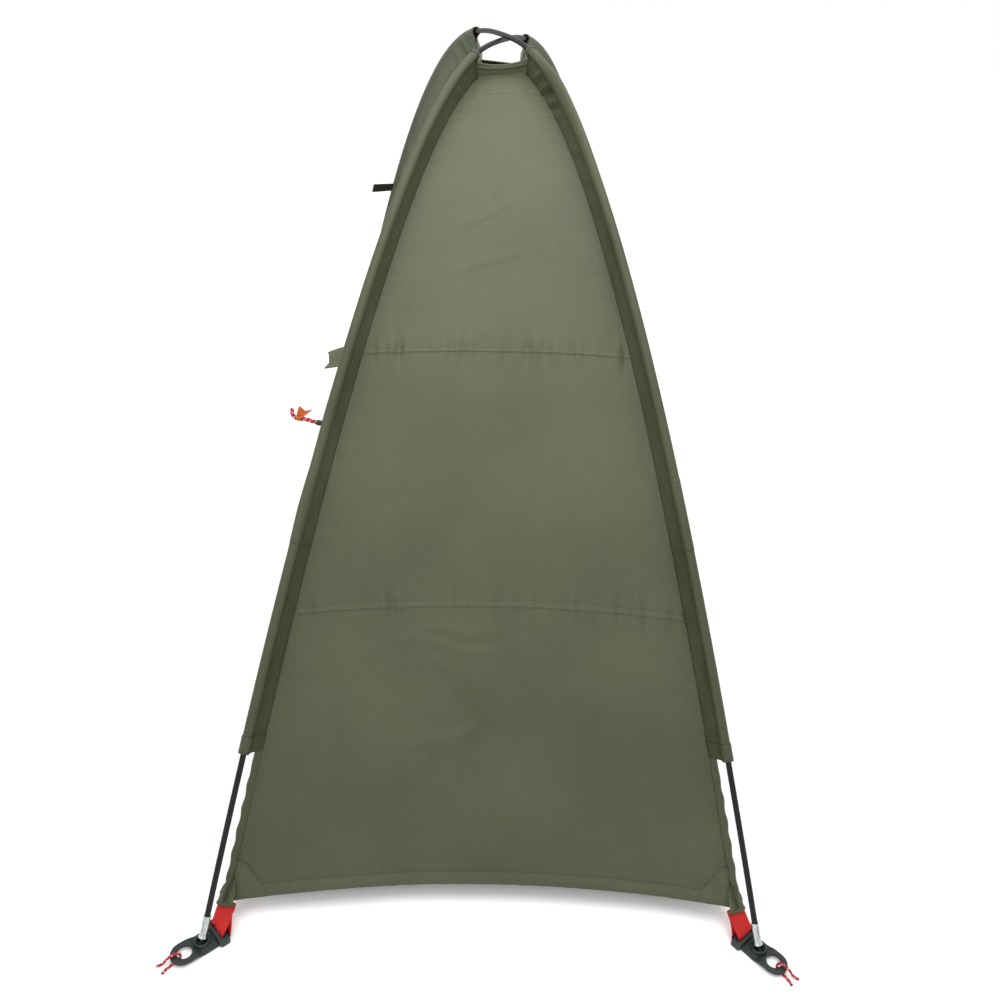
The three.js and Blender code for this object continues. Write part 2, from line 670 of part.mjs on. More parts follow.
function addPull() {
  const route = PULL_ROUTE.map(([out, up]) => sliderPoint(out, up));
  addPiece("zip_pull_cord", tubeGeometry(route, PULL_CORD_RADIUS, 22, 8), CORD_FINISH);
  const tab = new THREE.BoxGeometry(PULL_TAB.across, PULL_TAB.up, PULL_TAB.out);
  const mesh = addPiece("zip_pull_tab", tab, TAB_FINISH);
  const basis = new THREE.Matrix4().makeBasis(zipAcross, zipOut.clone().cross(zipAcross), zipOut);
  mesh.quaternion.setFromRotationMatrix(basis);
  mesh.position.copy(sliderPoint(PULL_TAB_OUT, PULL_TAB_UP));
}

// Square to the fin of a left leg. droop is how far it falls for each unit outwards.
function leftward(corner, droop = 0) {
  return vec(-0.94, -0.34 * corner.y, 0).normalize().add(vec(0, 0, -droop)).normalize();
}

// A flat tab of webbing or cloth that stands out from a sleeve on the left side. start is
// the middle of its sewn end.
function addTab(name, corner, share, start, outward, size, material) {
  const along = poleTangent(corner, share);
  const square = along.clone().cross(outward).normalize();
  const upright = outward.clone().cross(square).normalize();
  const tab = new THREE.BoxGeometry(size.length, size.thickness, size.height);
  const mesh = addPiece(name, tab, material);
  mesh.quaternion.setFromRotationMatrix(new THREE.Matrix4().makeBasis(outward, square, upright));
  mesh.position.copy(start).addScaledVector(outward, size.length / 2);
}

function addTabs() {
  const tieStart = finPoint(front_left, TIE_SHARE, FIN_WIDTH / 2)
    .addScaledVector(leftward(front_left), TIE_STAND_OFF);
  const tieOut = leftward(front_left, TIE_DROOP);
  addTab("door_tie_tab", front_left, TIE_SHARE, tieStart, tieOut, TIE_TAB, CLOTH_FINISH);
  const loopOut = leftward(rear_left);
  const loopStart = polePoint(rear_left, GUY_LOOP_SHARE)
    .addScaledVector(loopOut, CHANNEL_RADIUS + 1);
  addTab("guy_loop", rear_left, GUY_LOOP_SHARE, loopStart, loopOut, GUY_LOOP, ZIP_FINISH);
}

for (const [name, corner] of Object.entries(CORNERS)) {
  addSleeve(name, corner);
  addPoleTip(name, corner);
  addPegPlate(name, corner);
  addWebbing(name, corner);
  addPegCord(name, corner);
}
addPole("a", front_left, rear_right);
addPole("b", front_right, rear_left);
addPanels();
addLeftSide();
addSlider();
addPull();
addTabs();

export default tent;
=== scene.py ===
"""Looks for a narrow tent carried by two crossing shock-corded poles.

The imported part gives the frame. Each plain solid in it is stood for here by a detailed piece:
sewn cloth panels and sleeves with their hems, seams and stitches, drawn pole tubes, turned pole
tips, moulded peg plates, woven straps, braided cords and a zip. Metres, +Z up, and the front
end faces -Y.
"""

from __future__ import annotations

import logging
import math
from dataclasses import dataclass, field
from enum import Enum
from typing import Sequence

import bmesh
import bpy
import numpy as np
from mathutils import Matrix, Vector

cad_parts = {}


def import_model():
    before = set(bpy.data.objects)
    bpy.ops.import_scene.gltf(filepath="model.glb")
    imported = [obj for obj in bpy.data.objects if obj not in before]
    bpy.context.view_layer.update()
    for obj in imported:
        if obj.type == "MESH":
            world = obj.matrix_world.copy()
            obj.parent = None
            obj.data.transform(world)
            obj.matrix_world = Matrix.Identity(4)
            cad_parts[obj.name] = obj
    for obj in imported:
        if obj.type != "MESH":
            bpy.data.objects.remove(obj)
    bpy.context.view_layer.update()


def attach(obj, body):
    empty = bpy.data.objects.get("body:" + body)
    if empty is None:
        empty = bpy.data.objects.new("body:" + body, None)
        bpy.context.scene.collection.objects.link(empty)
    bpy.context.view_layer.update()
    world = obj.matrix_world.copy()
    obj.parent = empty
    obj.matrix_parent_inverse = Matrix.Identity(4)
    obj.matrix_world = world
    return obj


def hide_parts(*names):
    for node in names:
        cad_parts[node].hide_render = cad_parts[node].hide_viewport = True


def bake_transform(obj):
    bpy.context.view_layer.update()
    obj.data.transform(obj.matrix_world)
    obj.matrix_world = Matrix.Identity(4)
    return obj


LOG = logging.getLogger("tent")
MM = 0.001
CANOPY = "canopy_and_poles"
DOOR = "door"
SLIDER = "slider"
PULL = "zip_pull"
UP = np.array([0.0, 0.0, 1.0])
CLOTH_THICKNESS = 0.7 * MM
Array = np.ndarray
Points = Sequence[tuple[float, float]]
Piece = bpy.types.Object
Mesh = bpy.types.Mesh
Material = bpy.types.Material
Tree = bpy.types.NodeTree
Socket = bpy.types.NodeSocket


# ---------- corners and the tent's own lines ----------


@dataclass(frozen=True)
class Corner:
    """One corner of the tent: its side, its end, which pole it carries and its plate's angle."""

    name: str
    x: int
    y: int
    upper: bool
    toe: float

    @property
    def foot(self) -> str:
        """The body that the corner's peg plate belongs to."""
        return f"{self.name}_foot"


class Corners(Enum):
    """The four corners."""

    FRONT_LEFT = Corner("front_left", -1, -1, False, 40.0)
    FRONT_RIGHT = Corner("front_right", 1, -1, True, 50.0)
    REAR_LEFT = Corner("rear_left", -1, 1, True, 50.0)
    REAR_RIGHT = Corner("rear_right", 1, 1, False, 40.0)


FRONT_LEFT = Corners.FRONT_LEFT.value
FRONT_RIGHT = Corners.FRONT_RIGHT.value
REAR_LEFT = Corners.REAR_LEFT.value
REAR_RIGHT = Corners.REAR_RIGHT.value


def unit(vectors: Array) -> Array:
    """Returns the vectors at length 1."""
    return vectors / np.linalg.norm(vectors, axis=-1, keepdims=True)


def mix(a: Array | float, b: Array | float, share: Array | float) -> Array | float:
    """Returns the value that share of the way from a to b."""
    return a + (b - a) * share


def bow(u: Array) -> Array:
    """Returns 0 at both ends of 0..1 and 1 in the middle."""
    return 4.0 * u * (1.0 - u)


def bump(x: Array, middle: float, reach: float) -> Array:
    """Returns a smooth hump of height 1 about the middle."""
    return np.exp(-(((x - middle) / reach) ** 2))


def smooth(x: Array, start: float, end: float) -> Array:
    """Returns a smooth step from 0 at start to 1 at end."""
    t = np.clip((x - start) / (end - start), 0.0, 1.0)
    return t * t * (3.0 - 2.0 * t)


@dataclass(frozen=True)
class TentLines:
    """The lines that every piece follows: the poles, the sleeves' fins and the corner seams."""

    foot_width: float = 0.8
    foot_length: float = 2.0
    pole_height: float = 1.078
    tip_z: float = 0.009
    cross_drop: float = 0.009
    bend_spread: float = 0.3141
    bend_power: float = 1.294
    fin_width: float = 0.038
    fin_turn: float = math.radians(12.0)
    sleeve_top: float = 0.112
    sleeve_hem: float = 0.865
    corner_share: float = 0.976
    collar_start: float = 0.012

    def drop(self, share: Array) -> Array:
        """Returns how far the pole has fallen at a share of the leg, from 0 to 1."""
        whole = math.hypot(1.0, self.bend_spread) - self.bend_spread
        return ((np.hypot(share, self.bend_spread) - self.bend_spread) / whole) ** self.bend_power

    def pole(self, corner: Corner, share: Array | float) -> Array:
        """Returns points on the pole's centre line, from 0 at the crossing to 1 at the tip."""
        share = np.asarray(share, float)
        height = self.pole_height - (0.0 if corner.upper else self.cross_drop)
        x = corner.x * self.foot_width * share / 2
        y = corner.y * self.foot_length * share / 2
        return np.stack([x, y, self.tip_z + height * (1 - self.drop(share))], axis=-1)

    def tangent(self, corner: Corner, share: Array | float) -> Array:
        """Returns the pole's direction towards the tip."""
        share = np.asarray(share, float)
        step = 1e-4
        ahead = self.pole(corner, share + step)
        return unit(ahead - self.pole(corner, np.maximum(0.0, share - step)))

    def fin_direction(self, corner: Corner, share: Array | float) -> Array:
        """Returns the direction from the pole to the corner seam."""
        share = np.asarray(share, float)
        along = self.tangent(corner, share)
        across = unit(np.array([-corner.x * self.foot_length, corner.y * self.foot_width, 0.0]))
        inner = -unit(UP - along * along[..., 2:3])
        turn = (self.fin_turn * share)[..., None]
        return inner * np.cos(turn) + across * np.sin(turn)

    def fin(self, corner: Corner, share: Array | float, width: Array | float) -> Array:
        """Returns points on the fin, width away from the pole's centre line."""
        width = np.asarray(width, float)[..., None]
        return self.pole(corner, share) + self.fin_direction(corner, share) * width

    def seam(self, corner: Corner, place: Array) -> Array:
        """Returns points on a panel's edge: -1 under the pole, 0 to 1 down the corner seam."""
        place = np.asarray(place, float)
        lower = mix(self.sleeve_top, self.corner_share, place)
        share = np.where(place < 0, self.sleeve_top, lower)
        collar = mix(self.fin_width, self.collar_start, -place)
        return self.fin(corner, share, np.where(place < 0, collar, self.fin_width))


LINES = TentLines()


# ---------- mesh helpers ----------


def new_object(name: str, mesh: Mesh, material: Material | None) -> Piece:
    """Returns a mesh as an object in the scene, with its finish and smooth faces."""
    piece = bpy.data.objects.new(name, mesh)
    bpy.context.scene.collection.objects.link(piece)
    if material is not None:
        mesh.materials.clear()
        mesh.materials.append(material)
    return piece


def smooth_faces(mesh: Mesh, crease: float = 40.0) -> None:
    """Shades a mesh smooth, with sharp edges where it turns by more than crease degrees."""
    mesh.shade_smooth()
    mesh.set_sharp_from_angle(angle=math.radians(crease))


def turn_outwards(mesh: Mesh, merge: float = 0.0) -> None:
    """Merges doubles where asked and points a closed mesh's faces outwards."""
    work = bmesh.new()
    work.from_mesh(mesh)
    if merge:
        bmesh.ops.remove_doubles(work, verts=work.verts, dist=merge)
    bmesh.ops.recalc_face_normals(work, faces=work.faces)
    work.to_mesh(mesh)
    work.free()


def set_uv(mesh: Mesh, corner_uv: Array) -> None:
    """Writes one UV pair for each face corner, in metres on the piece."""
    layer = mesh.uv_layers.new(name="weave")
    layer.data.foreach_set("uv", np.asarray(corner_uv, np.float32).ravel())


def run_length(points: Array) -> Array:
    """Returns the distance along a line of points, from its start."""
    steps = np.linalg.norm(np.diff(points, axis=0), axis=1)
    return np.concatenate([[0.0], np.cumsum(steps)])


def grid_uv(points: Array) -> Array:
    """Returns a grid's UV in metres, measured along its middle row and middle column."""
    rows, columns = points.shape[:2]
    across = run_length(points[rows // 2])
    down = run_length(points[:, columns // 2])
    widths = np.linalg.norm(np.diff(points, axis=1), axis=2).sum(axis=1)
    share = (across / across[-1] - 0.5)[None, :] * widths[:, None]
    return np.stack([share, np.broadcast_to(down[:, None], share.shape)], axis=-1)


def grid_object(
    name: str, points: Array, material: Material, thickness: float = CLOTH_THICKNESS
) -> Piece:
    """Makes a sheet of cloth from a grid of points.

    Args:
        name: The piece's name.
        points: Rows by columns by 3.
        material: The finish.
        thickness: The cloth's thickness, half to each side.

    Returns:
        The object, with its thickness as a modifier.
    """
    rows, columns = points.shape[:2]
    index = np.arange(rows * columns).reshape(rows, columns)
    corners = [index[:-1, :-1], index[1:, :-1], index[1:, 1:], index[:-1, 1:]]
    faces = np.stack(corners, axis=-1).reshape(-1, 4)
    mesh = bpy.data.meshes.new(name)
    mesh.from_pydata(points.reshape(-1, 3).tolist(), [], faces.tolist())
    set_uv(mesh, grid_uv(points).reshape(-1, 2)[faces.ravel()])
    mesh.shade_smooth()
    piece = new_object(name, mesh, material)
    wall = piece.modifiers.new("thickness", "SOLIDIFY")
    wall.thickness = thickness
    wall.offset = 0.0
    return piece


def ring(radius: float, sides: int) -> Array:
    """Returns a circle as a closed section."""
    angles = np.arange(sides) * 2 * math.pi / sides
    return np.stack([radius * np.cos(angles), radius * np.sin(angles)], axis=-1)


def rounded_bar(width: float, thickness: float, steps: int = 3, spread: int = 4) -> Array:
    """Returns a flat strap's section: a bar with half-round edges and points along its faces."""
    radius = thickness / 2
    half = width / 2 - radius
    turns = np.linspace(-math.pi / 2, math.pi / 2, 2 * steps + 1)
    right = [(half + radius * math.cos(a), radius * math.sin(a)) for a in turns]
    top = [(x, radius) for x in np.linspace(half, -half, spread + 1)[1:-1]]
    left = [(-x, -y) for x, y in right]
    bottom = [(-x, -y) for x, y in top]
    return np.array([*right, *top, *left, *bottom])


def carried_frames(points: Array, start_side: Array) -> tuple[Array, Array]:
    """Returns directions square to a line, carried along it without twisting.

    Args:
        points: The line.
        start_side: The first direction, made square to the line at its start.

    Returns:
        The side and the upward direction at each point.
    """
    along = unit(np.gradient(points, axis=0))
    side = np.zeros_like(points)
    last = np.asarray(start_side, float)
    for i, forward in enumerate(along):
        last = unit(last - forward * (last @ forward))
        side[i] = last
    return side, np.cross(along, side)


def smooth_route(points: Array, count: int) -> Array:
    """Returns a smooth line of count points, evenly spaced, through a route's points."""
    points = np.asarray(points, float)
    at = np.concatenate([[0.0], np.cumsum(np.linalg.norm(np.diff(points, axis=0), axis=1) ** 0.5)])
    slope = np.gradient(points, at, axis=0)
    fine = np.linspace(0.0, at[-1], 40 * len(points))
    i = np.clip(np.searchsorted(at, fine, side="right") - 1, 0, len(at) - 2)
    span = at[i + 1] - at[i]
    t = ((fine - at[i]) / span)[:, None]
    span = span[:, None]
    line = (
        (2 * t**3 - 3 * t**2 + 1) * points[i]
        + (t**3 - 2 * t**2 + t) * span * slope[i]
        + (3 * t**2 - 2 * t**3) * points[i + 1]
        + (t**3 - t**2) * span * slope[i + 1]
    )
    along = run_length(line)
    even = np.linspace(0.0, along[-1], count)
    return np.stack([np.interp(even, along, line[:, k]) for k in range(3)], axis=1)


def swept_object(
    name: str,
    centres: Array,
    side: Array,
    up: Array,
    section: Array,
    material: Material,
    bore: Array | None = None,
    crease: float = 50.0,
) -> Piece:
    """Sweeps a closed section along a line and closes its ends.

    Args:
        name: The piece's name.
        centres: The line's points.
        side: The section's first direction at each point.
        up: The section's second direction at each point.
        section: The outline, either one for the whole line or one for each point.
        material: The finish.
        bore: The outline of a bore with as many points, or None.
        crease: The edge angle in degrees past which an edge stays sharp.

    Returns:
        The object, a closed body.
    """

    def rings(outline: Array) -> Array:
        """Returns the outline at every station."""
        if outline.ndim == 2:
            outline = np.broadcast_to(outline, (len(centres), *outline.shape))
        across = side[:, None, :] * outline[..., 0:1]
        return centres[:, None, :] + across + up[:, None, :] * outline[..., 1:2]

    layers = [rings(section)] + ([rings(bore)] if bore is not None else [])
    count = layers[0].shape[1]
    length = run_length(centres)
    vertices: list[Array] = []
    faces: list[list[int]] = []
    uvs: list[tuple[float, float]] = []
    for n, layer in enumerate(layers):
        start = n * len(centres) * count
        vertices.append(layer.reshape(-1, 3))
        edge = np.linalg.norm(np.roll(layer[0], -1, axis=0) - layer[0], axis=1)
        around = np.concatenate([[0.0], np.cumsum(edge)])
        for i in range(len(centres) - 1):
            for k in range(count):
                a = start + i * count + k
                b = start + i * count + (k + 1) % count
                faces.append([a, b, b + count, a + count])
                for j, m in ((k, i), (k + 1, i), (k + 1, i + 1), (k, i + 1)):
                    uvs.append((around[j], length[m]))
    for end in (0, len(centres) - 1):
        first = end * count
        if bore is None:
            faces.append(list(range(first, first + count)))
            uvs.extend([(0.0, length[end])] * count)
            continue
        inner = (len(centres) + end) * count
        for k in range(count):
            after = (k + 1) % count
            faces.append([first + k, first + after, inner + after, inner + k])
            uvs.extend([(0.0, length[end])] * 4)
    mesh = bpy.data.meshes.new(name)
    mesh.from_pydata(np.concatenate(vertices).tolist(), [], faces)
    set_uv(mesh, np.array(uvs))
    turn_outwards(mesh)
    smooth_faces(mesh, crease)
    return new_object(name, mesh, material)


def lathe_object(name: str, profile: Points, sides: int, material: Material | None) -> Piece:
    """Turns a profile of radius and height pairs about Z. It starts and ends on the axis."""
    mesh = bpy.data.meshes.new(name)
    work = bmesh.new()
    line = [work.verts.new((max(r, 0.0), 0.0, h)) for r, h in profile]
    edges = [work.edges.new(pair) for pair in zip(line, line[1:])]
    bmesh.ops.spin(
        work,
        geom=[*line, *edges],
        cent=(0, 0, 0),
        axis=(0, 0, 1),
        angle=2 * math.pi,
        steps=sides,
        use_merge=True,
    )
    bmesh.ops.remove_doubles(work, verts=work.verts, dist=1e-6)
    bmesh.ops.recalc_face_normals(work, faces=work.faces)
    work.to_mesh(mesh)
    work.free()
    smooth_faces(mesh)
    return new_object(name, mesh, material)


def cut_plate(outline: Points, holes: Sequence[Points], low: float, high: float, edge: float) -> Piece:
    """Makes a flat plate with rounded edges from an outline and the holes in it.

    Args:
        outline: The outer edge.
        holes: The edges of the holes.
        low: The underside's height.
        high: The upper face's height.
        edge: The radius of the rounded edges.

    Returns:
        The plate as a closed mesh object.
    """
    curve = bpy.data.curves.new("plate_outline", "CURVE")
    curve.dimensions = "2D"
    curve.fill_mode = "BOTH"
    for loop in (outline, *holes):
        spline = curve.splines.new("POLY")
        spline.points.add(len(loop) - 1)
        for point, (x, y) in zip(spline.points, loop):
            point.co = (x, y, 0.0, 1.0)
        spline.use_cyclic_u = True
    curve.extrude = (high - low) / 2 - edge
    curve.bevel_depth = edge
    curve.bevel_resolution = 2
    curve.offset = -edge
    source = bpy.data.objects.new("plate_outline", curve)
    bpy.context.scene.collection.objects.link(source)
    mesh = evaluated_mesh(source)
    bpy.data.objects.remove(source)
    mesh.transform(Matrix.Translation((0.0, 0.0, (low + high) / 2)))
    turn_outwards(mesh, merge=1e-6)
    return new_object("plate_stock", mesh, None)


def evaluated_mesh(piece: Piece) -> Mesh:
    """Returns a plain mesh of an object with its modifiers applied."""
    graph = bpy.context.evaluated_depsgraph_get()
    return bpy.data.meshes.new_from_object(piece.evaluated_get(graph))


def united(name: str, parts: Sequence[Piece], cuts: Sequence[Piece] = ()) -> Mesh:
    """Joins closed bodies into one and cuts others out of it. The bodies given are used up.

    Args:
        name: The new mesh's name.
        parts: The bodies to join.
        cuts: The bodies to cut away.

    Returns:
        One mesh.
    """
    base = parts[0]
    for tools, operation in ((parts[1:], "UNION"), (cuts, "DIFFERENCE")):
        for tool in tools:
            join = base.modifiers.new("join", "BOOLEAN")
            join.operation = operation
            join.solver = "EXACT"
            join.object = tool
    mesh = evaluated_mesh(base)
    mesh.name = name
    for used in (*parts, *cuts):
        bpy.data.objects.remove(used)
    turn_outwards(mesh, merge=1e-6)
    smooth_faces(mesh, 32.0)
    return mesh


def arc(
    centre: tuple[float, float], radius: float, start: float, end: float, steps: int
) -> list[tuple[float, float]]:
    """Returns points on an arc, its angles in degrees."""
    angles = np.radians(np.linspace(start, end, steps + 1))
    return [(centre[0] + radius * math.cos(a), centre[1] + radius * math.sin(a)) for a in angles]


def round_block(x0: float, x1: float, y0: float, y1: float, radius: float) -> list[tuple[float, float]]:
    """Returns a rectangle's outline with round corners."""
    corners = [(x1 - radius, y0 + radius, -90), (x1 - radius, y1 - radius, 0)]
    corners += [(x0 + radius, y1 - radius, 90), (x0 + radius, y0 + radius, 180)]
    return [point for x, y, a in corners for point in arc((x, y), radius, a, a + 90, 4)]


def seat(piece: Piece, body: str, slot: str, *replaced: str) -> Piece:
    """Rides a piece on its body, hides the plain nodes it stands for and logs it."""
    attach(piece, body)
    if replaced:
        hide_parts(*replaced)
    LOG.info("%s rides on %s", piece.name, body)
    return piece


# ---------- finishes ----------


def linear(hex_code: str) -> tuple[float, float, float, float]:
    """Returns an sRGB hex colour as linear red, green, blue and alpha."""
    parts = [int(hex_code[i : i + 2], 16) / 255 for i in (1, 3, 5)]
    r, g, b = (p / 12.92 if p <= 0.04045 else ((p + 0.055) / 1.055) ** 2.4 for p in parts)
    return (r, g, b, 1.0)


def add_node(
    tree: Tree,
    kind: str,
    sockets: dict,
    out: int | str = 0,
    stops: dict[float, str] | None = None,
    **settings,
) -> Socket | None:
    """Adds a node to a tree.

    Args:
        tree: The node tree.
        kind: The node's type. A shader node's is given without its prefix.
        sockets: Input name or number to a value, or to the output that feeds it.
        out: The output to return.
        stops: Places to hex colours, for a colour ramp.
        **settings: The node's own properties.

    Returns:
        The chosen output, or None where the node has none.
    """
    node = tree.nodes.new(kind if "Node" in kind else f"ShaderNode{kind}")
    for name, value in settings.items():
        setattr(node, name, value)
    for key, value in sockets.items():
        if isinstance(value, bpy.types.NodeSocket):
            tree.links.new(value, node.inputs[key])
        else:
            node.inputs[key].default_value = value
    for i, (place, hex_code) in enumerate(sorted((stops or {}).items())):
        marks = node.color_ramp.elements
        mark = marks[i] if i < len(marks) else marks.new(place)
        mark.position = place
        mark.color = linear(hex_code)
    return node.outputs[out] if len(node.outputs) else None


def band_scale(pitch: float) -> float:
    """Returns the wave texture's scale for bands that are pitch metres apart."""
    return 2 * math.pi / (20.0 * pitch)


@dataclass
class Surface:
    """What a finish feeds its shader.

    Attributes:
        colour: The colour.
        relief: The height that the light catches, or None.
        depth: The relief's depth in metres.
        strength: The relief's strength.
        wear: What makes the roughness uneven, or None.
        spread: How far the roughness falls where wear is 0, and rises where it is 1.
    """

    colour: Socket
    relief: Socket | None = None
    depth: float = 0.0
    strength: float = 1.0
    wear: Socket | None = None
    spread: tuple[float, float] = (0.0, 0.0)


@dataclass(frozen=True)
class Finish:
    """What all finishes share: the shader's even values and its wiring."""

    name: str
    roughness: float = 0.5
    metallic: float = 0.0
    specular: float = 0.5
    sheen: float = 0.0

    def surface(self, tree: Tree, place: Socket, cloth: Socket) -> Surface:
        """Returns the finish's own pattern.

        Args:
            tree: The node tree.
            place: The object's coordinates, in metres.
            cloth: The piece's own UV, in metres along its cloth or its length.

        Returns:
            What the shader is fed.
        """
        raise NotImplementedError

    def build(self) -> Material:
        """Returns the material."""
        material = bpy.data.materials.new(self.name)
        material.use_nodes = True
        tree = material.node_tree
        inputs = tree.nodes["Principled BSDF"].inputs
        inputs["Roughness"].default_value = self.roughness
        inputs["Metallic"].default_value = self.metallic
        inputs["Specular IOR Level"].default_value = self.specular
        inputs["Sheen Weight"].default_value = self.sheen
        place, cloth = (add_node(tree, "TexCoord", {}, out) for out in ("Object", "UV"))
        made = self.surface(tree, place, cloth)
        tree.links.new(made.colour, inputs["Base Color"])
        if made.wear is not None:
            low, high = self.roughness - made.spread[0], self.roughness + made.spread[1]
            sockets = {"Value": made.wear, "To Min": low, "To Max": high}
            tree.links.new(add_node(tree, "MapRange", sockets), inputs["Roughness"])
        if made.relief is not None:
            sockets = {"Height": made.relief, "Distance": made.depth, "Strength": made.strength}
            tree.links.new(add_node(tree, "Bump", sockets), inputs["Normal"])
        return material


@dataclass(frozen=True)
class CoatedTaffeta(Finish):
    """Plain-woven polyester, dyed in the piece and coated on the back.

    The weave scatters light softly, the coating evens it out, and the calendered face gives a
    faint broad gloss on folds. Its colour is painted lighter towards the top and darker towards the
    bottom, as painted light from above. Real threads are about 0.25 mm apart, too fine to show at
    arm's length, so they are drawn 1.1 mm apart.
    """

    dark: str = "#3A3F2A"
    middle: str = "#474C35"
    light: str = "#555A43"
    thread: float = 1.1 * MM
    # How strongly the colour is painted lighter towards the top, as painted light from above.
    painted_top_light: float = 0.36

    def surface(self, tree: Tree, place: Socket, cloth: Socket) -> Surface:
        """Returns mottled cloth, painted lighter towards the top as painted light, with its threads and
        fine crumples.
        """
        noise = {"Vector": place, "Scale": 5.5, "Detail": 4.0, "Roughness": 0.55}
        clouds = add_node(tree, "TexNoise", noise)
        crumple = add_node(tree, "TexNoise", {**noise, "Scale": 42.0, "Detail": 5.0})
        stretched = add_node(tree, "Mapping", {"Vector": cloth, "Scale": (260.0, 45.0, 1.0)})
        specks = add_node(tree, "TexNoise", {**noise, "Vector": stretched, "Scale": 1.0, "Detail": 2.0})
        # Painted light: the tone rises with height, so the cloth is painted lighter at the top and darker
        # at the bottom.
        height = add_node(tree, "SeparateXYZ", {"Vector": place}, "Z")
        sockets = {0: height, 1: self.painted_top_light, 2: 0.25 - 0.5 * self.painted_top_light}
        painted_light_tone = add_node(tree, "Math", sockets, operation="MULTIPLY_ADD")
        tone = add_node(tree, "Math", {0: specks, 1: 0.1, 2: painted_light_tone}, operation="MULTIPLY_ADD")
        tone = add_node(tree, "Math", {0: clouds, 1: 0.4, 2: tone}, operation="MULTIPLY_ADD")
        stops = {0.3: self.dark, 0.5: self.middle, 0.72: self.light}
        colour = add_node(tree, "ValToRGB", {"Fac": tone}, stops=stops)
        waves = {"Vector": cloth, "Scale": band_scale(self.thread), "Distortion": 0.6}
        warp, weft = (add_node(tree, "TexWave", waves, "Fac", bands_direction=axis) for axis in "XY")
        threads = add_node(tree, "Math", {0: warp, 1: weft}, operation="ADD")
        relief = add_node(tree, "Math", {0: threads, 1: 0.05, 2: crumple}, operation="MULTIPLY_ADD")
        return Surface(colour, relief, 1.2 * MM, 0.55, clouds, (0.07, 0.07))


@dataclass(frozen=True)
class WovenStrap(Finish):
    """Woven strap. Its ribs run across it and its warp threads show as fine lines along it."""

    dark: str = "#720D0A"
    light: str = "#B81710"
    rib: float = 1.7 * MM

    def surface(self, tree: Tree, place: Socket, cloth: Socket) -> Surface:
        """Returns slanting ribs crossed by warp threads, and rubbed in places."""
        slanting = add_node(tree, "Mapping", {"Vector": cloth, "Rotation": (0.0, 0.0, math.radians(32))})
        waves = {"Vector": slanting, "Scale": band_scale(self.rib), "Distortion": 0.4}
        ribs = add_node(tree, "TexWave", waves, "Fac", bands_direction="Y")
        waves = {"Vector": cloth, "Scale": band_scale(0.9 * self.rib), "Distortion": 0.3}
        warp = add_node(tree, "TexWave", waves, "Fac", bands_direction="X")
        threads = add_node(tree, "Math", {0: ribs, 1: warp}, operation="ADD")
        weave = add_node(tree, "Math", {0: threads, 1: 0.5}, operation="MULTIPLY")
        wear = add_node(
            tree, "TexNoise", {"Vector": place, "Scale": 70.0, "Detail": 3.0, "Roughness": 0.55}
        )
        both = add_node(tree, "Math", {0: weave, 1: wear}, operation="ADD")
        tone = add_node(tree, "Math", {0: both, 1: 0.55}, operation="MULTIPLY")
        colour = add_node(tree, "ValToRGB", {"Fac": tone}, stops={0.1: self.dark, 0.62: self.light})
        return Surface(colour, weave, 0.35 * MM, 0.8, wear, (0.1, 0.1))


@dataclass(frozen=True)
class BraidedSheath(Finish):
    """Braided polyester sheath: slanting strands, with a few of the strands left undyed."""

    strand: str = "#C2182A"
    shade: str = "#7C0E18"
    fleck: str = "#E8D8D2"
    pitch: float = 1.5 * MM
    fleck_share: float = 0.62

    def surface(self, tree: Tree, place: Socket, cloth: Socket) -> Surface:
        """Returns two crossing sets of strands, with pale flecks where two slower sets meet."""
        slants = [(0.0, 0.0, math.radians(angle)) for angle in (38, -38)]
        turned = [add_node(tree, "Mapping", {"Vector": cloth, "Rotation": slant}) for slant in slants]
        bands = []
        for way, size in ((0, 1.0), (1, 1.0), (0, 4.2), (1, 2.6)):
            sockets = {"Vector": turned[way], "Scale": band_scale(size * self.pitch)}
            bands.append(add_node(tree, "TexWave", sockets, "Fac", bands_direction="Y"))
        braid = add_node(tree, "Math", {0: bands[0], 1: bands[1]}, operation="MULTIPLY")
        marks = add_node(tree, "Math", {0: bands[2], 1: bands[3]}, operation="MULTIPLY")
        chosen = add_node(tree, "Math", {0: marks, 1: self.fleck_share}, operation="GREATER_THAN")
        dyed = add_node(tree, "ValToRGB", {"Fac": braid}, stops={0.0: self.shade, 0.35: self.strand})
        sockets = {0: chosen, 6: dyed, 7: linear(self.fleck)}
        colour = add_node(tree, "Mix", sockets, 2, data_type="RGBA")
        return Surface(colour, braid, 0.4 * MM, 0.8)


@dataclass(frozen=True)
class MouldedNylon(Finish):
    """Injection-moulded glass-filled nylon: spark-eroded grain, dull, rubbed shiny on edges."""

    dark: str = "#171D1D"
    light: str = "#252D2D"
    worn: str = "#3C4543"

    def surface(self, tree: Tree, place: Socket, cloth: Socket) -> Surface:
        """Returns grained plastic, stained on its faces and pale on its edges."""
        noise = {"Vector": place, "Roughness": 0.55}
        grain = add_node(tree, "TexNoise", {**noise, "Scale": 1400.0, "Detail": 2.0})
        stains = add_node(tree, "TexNoise", {**noise, "Scale": 60.0, "Detail": 4.0})
        edges = add_node(tree, "NewGeometry", {}, "Pointiness")
        worn = add_node(tree, "MapRange", {"Value": edges, "From Min": 0.53, "From Max": 0.62})
        stained = add_node(tree, "Math", {0: stains, 1: 0.6}, operation="MULTIPLY")
        tone = add_node(tree, "Math", {0: worn, 1: 0.35, 2: stained}, operation="MULTIPLY_ADD")
        stops = {0.15: self.dark, 0.5: self.light, 0.9: self.worn}
        colour = add_node(tree, "ValToRGB", {"Fac": tone}, stops=stops)
        return Surface(colour, grain, 0.12 * MM, 0.6, stains, (0.12, 0.1))


